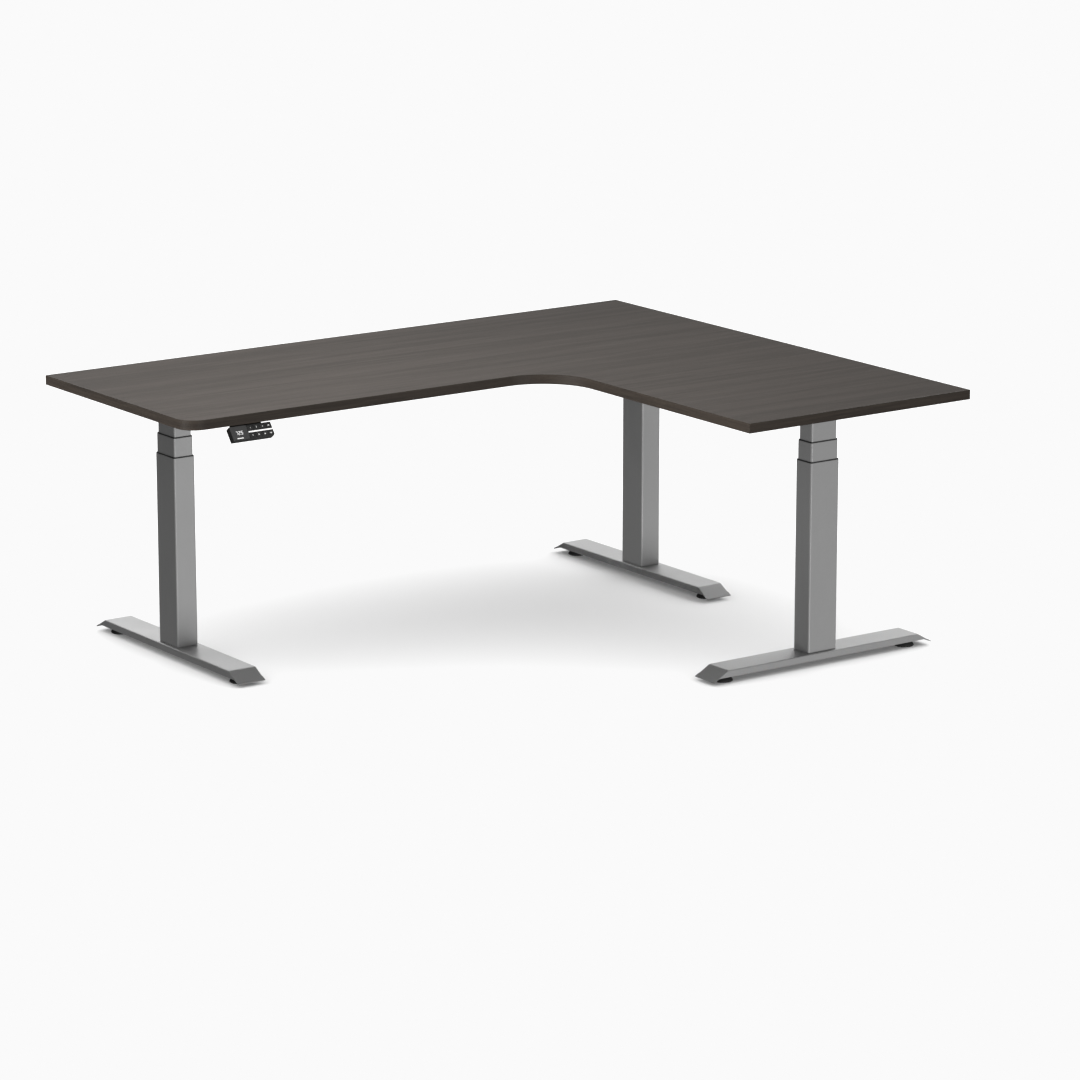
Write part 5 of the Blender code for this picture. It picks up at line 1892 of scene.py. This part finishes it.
@dataclass
class Studio:
    """A seamless pale floor under soft overhead light, and the camera.

    Attributes:
        floor_radius: The floor's radius.
        floor_glow: The share of the floor's light that a shadow doesn't take.
        floor_sun: The overhead light's strength on the floor.
        overhead: The overhead light's strength on the desk, apart from the board's face.
        board_top: The power of the softbox over the left of the board's face, which fades to the right.
        front: The front light's strength on the desk.
        side: The strength of the low side light, kept to the edge band by flags.
        back: The strength of the light from behind on the desk.
        right: The strength of the light from the right on the desk.
        rim: The strength of the narrow light that draws the columns' corners.
        fill: The power of the small softbox between the legs, kept to the columns by flags.
        ambient: The room's strength.
        white: The tone that everything brighter is held at, as on a washed-out backdrop.
    """

    floor_radius: float = 60.0
    floor_glow: float = 0.05
    floor_sun: float = 4.9
    overhead: float = 0.5
    board_top: float = 28.5
    front: float = 2.05
    side: float = 8.6
    back: float = 1.9
    right: float = 2.4
    rim: float = 0.36
    fill: float = 1.5
    ambient: float = 0.19
    white: str = "#FAFAFA"
    stage: list[bpy.types.Object] = field(default_factory=list)

    def camera(self) -> None:
        """A long lens at a standing viewer's height, to the left of the front."""
        data = bpy.data.cameras.new("studio_camera")
        data.lens, data.sensor_width, data.clip_end = 148.47, 36.0, 500.0
        camera = object_for("studio_camera", data)
        camera.location = (-6.3052, -9.0379, 2.9674)
        camera.rotation_euler = (math.radians(76.30), 0.0, math.radians(-35.37))
        bpy.context.scene.camera = camera

    def floor(self) -> bpy.types.Object:
        """A wide floor of lit white paper, whose underside can be seen through.

        Returns:
            The floor.
        """
        edge = arc((0.0, 0.0), self.floor_radius, 0, 357.5, 143)
        mesh = bpy.data.meshes.new("studio_floor")
        mesh.from_pydata([(x, y, 0.0) for x, y in edge], [], [tuple(range(len(edge)))])
        floor = object_for("studio_floor", mesh)
        material = bpy.data.materials.new("white backdrop paper")
        material.use_nodes = True
        tree = material.node_tree
        tree.nodes.clear()
        place = add_node(tree, "ShaderNodeTexCoord").outputs["Object"]
        fibre = add_node(tree, "ShaderNodeTexNoise", {"Vector": place, "Scale": 900.0, "Detail": 2.0}).outputs[0]
        tone = {"Value": fibre, "From Min": 0.3, "From Max": 0.7, "To Min": 0.795, "To Max": 0.805}
        tone = add_node(tree, "ShaderNodeMapRange", tone).outputs[0]
        paper = add_node(tree, "ShaderNodeBsdfDiffuse", {"Color": tone}).outputs[0]
        glow = add_node(tree, "ShaderNodeEmission", {"Color": linear("#FFFFFF"), "Strength": self.floor_glow}).outputs[0]
        lit = add_node(tree, "ShaderNodeAddShader", {0: paper, 1: glow}).outputs[0]
        clear = add_node(tree, "ShaderNodeBsdfTransparent").outputs[0]
        under = add_node(tree, "ShaderNodeNewGeometry").outputs["Backfacing"]
        surface = add_node(tree, "ShaderNodeMixShader", {0: under, 1: lit, 2: clear}).outputs[0]
        add_node(tree, "ShaderNodeOutputMaterial", {"Surface": surface})
        mesh.materials.append(material)
        floor.visible_diffuse = False
        floor.visible_glossy = False
        return floor

    def sun(self, name: str, strength: float, spread: float, way: Sequence[float]) -> bpy.types.Object:
        """A soft light from one side, as even as a large softbox.

        Args:
            name: The light's name.
            strength: Its strength.
            spread: Its width in degrees.
            way: The way that it comes from.

        Returns:
            The light.
        """
        data = bpy.data.lights.new(name, "SUN")
        data.energy, data.angle = strength, math.radians(spread)
        light = object_for(name, data)
        light.rotation_euler = Vector(way).to_track_quat("Z", "Y").to_euler()
        return light

    def softbox(self, name: str, power: float, size: float, place: Sequence[float], turn: Sequence[float]) -> bpy.types.Object:
        """A square softbox that the camera doesn't see.

        Args:
            name: The light's name.
            power: Its power in watts.
            size: Its side.
            place: Its centre.
            turn: Its turn in degrees, from facing down.

        Returns:
            The light.
        """
        data = bpy.data.lights.new(name, "AREA")
        data.energy, data.size = power, size
        light = object_for(name, data)
        light.location = place
        light.rotation_euler = [math.radians(angle) for angle in turn]
        light.visible_camera = False
        return light

    def linked(self, name: str, prefixes: Sequence[str], floor: bpy.types.Object | None = None) -> bpy.types.Collection:
        """A collection for light linking.

        Args:
            name: The collection's name.
            prefixes: How the names of its objects start.
            floor: The floor, if the collection lists what a light leaves out.

        Returns:
            The collection.
        """
        group = bpy.data.collections.new(name)
        for obj in bpy.data.objects:
            if obj.type == "MESH" and obj.name.startswith(tuple(prefixes)):
                group.objects.link(obj)
        if floor:
            group.objects.link(floor)
            for member in group.collection_objects:
                member.light_linking.link_state = "EXCLUDE"
        return group

    def exposure(self) -> None:
        """Hold the whites at one tone and leave the rest as it is."""
        view = bpy.context.scene.view_settings
        view.view_transform = "Standard"
        view.use_curve_mapping = True
        curves = view.curve_mapping
        level = linear(self.white)[0]
        curves.clip_max_x, curves.clip_max_y = 4.0, 1.0
        curve = curves.curves[3]
        curve.points[1].location = (level, level)
        curve.points.new(4.0, level)
        for point in curve.points:
            point.handle_type = "VECTOR"
        curves.update()

    def world(self) -> None:
        """A dim room that the camera sees as plain white."""
        world = bpy.data.worlds.new("studio_room")
        bpy.context.scene.world = world
        world.use_nodes = True
        tree = world.node_tree
        tree.nodes.clear()
        seen = add_node(tree, "ShaderNodeLightPath").outputs["Is Camera Ray"]
        room = add_node(tree, "ShaderNodeBackground", {"Color": linear("#FFFFFF"), "Strength": self.ambient}).outputs[0]
        white = add_node(tree, "ShaderNodeBackground", {"Color": linear("#FAFAFA"), "Strength": 1.0}).outputs[0]
        surface = add_node(tree, "ShaderNodeMixShader", {0: seen, 1: room, 2: white}).outputs[0]
        add_node(tree, "ShaderNodeOutputWorld", {"Surface": surface})

    def build(self) -> None:
        """The camera, the floor, and the lights, each on the floor or on the desk alone."""
        self.camera()
        floor = self.floor()
        self.world()
        overhead = self.sun("floor_light", self.floor_sun, 145.0, (0.0, 0.0, 1.0))
        overhead.light_linking.receiver_collection = self.linked("floor_only", ("studio_floor",))
        side = self.sun("side_light", self.side, 30.0, (-1.0, 0.0, 0.0))
        side.light_linking.receiver_collection = self.linked("edge_band_only", ("desktop_edge_band",))
        fill = self.softbox("fill_softbox", self.fill, 0.4, (-0.25, -0.15, 0.30), (0.0, -90.0, 15.0))
        fill.light_linking.receiver_collection = self.linked("columns_only", ("column_",))
        top = self.softbox("board_softbox", self.board_top, 0.8, (-0.6, 0.0, 2.49), (0.0, 0.0, 0.0))
        top.light_linking.receiver_collection = self.linked("board_face_only", ("desktop_board",))
        but_floor = self.linked("all_but_floor", (), floor)
        but_board = self.linked("all_but_board_and_floor", ("desktop_board",), floor)
        but_foot = self.linked("all_but_corner_foot_and_floor", ("foot_channel_corner",), floor)
        lights = (
            (self.sun("overhead_light", self.overhead, 70.0, (0.10, 0.15, 1.0)), but_board),
            (self.sun("front_light", self.front, 36.0, (0.10, -1.0, -0.14)), but_foot),
            (self.sun("back_light", self.back, 60.0, (0.12, 0.85, 0.50)), but_floor),
            (self.sun("right_light", self.right, 44.0, (0.80, 0.36, 0.40)), but_board),
            (self.sun("rim_light", self.rim, 8.0, (-0.79, -0.57, -0.20)), but_floor),
        )
        for light, receivers in lights:
            light.light_linking.receiver_collection = receivers
            light.light_linking.blocker_collection = but_floor
        self.exposure()


def main() -> None:
    """Build the desk piece by piece, then the studio round it."""
    logging.basicConfig(level=logging.INFO, format="%(message)s")
    growers = Growers()
    base_bolts = Fasteners("foot_column_bolts", "base", 0.0065, 0.0040, 0.0050, 11)
    drive_bolts = Fasteners("drive_unit_screws", "lifting_frame", 0.0026, 0.0018, 0.0024, 23)
    wood_screws = Fasteners("board_screws", "lifting_frame", 0.0052, 0.0026, 0.0036, 37)
    box_screws = Fasteners("control_box_screws", "lifting_frame", 0.0030, 0.0014, 0.0024, 41)
    hanger_screws = Fasteners("keypad_hanger_screws", "lifting_frame", 0.0040, 0.0022, 0.0030, 53)
    Board().build()
    legs = [LegFrame(name) for name in ("left", "corner", "return")]
    for leg in legs:
        Foot(leg, growers).build(base_bolts)
        Column(leg, growers).build()
        DriveUnit(leg, growers).build(drive_bolts)
    UnderFrame(legs, growers).build(wood_screws)
    ControlBox(growers).build(box_screws)
    Keypad(growers).build(hanger_screws)
    for fasteners in (base_bolts, drive_bolts, wood_screws, box_screws, hanger_screws):
        fasteners.build(growers)
    Studio().build()


if __name__ == "__main__":
    main()
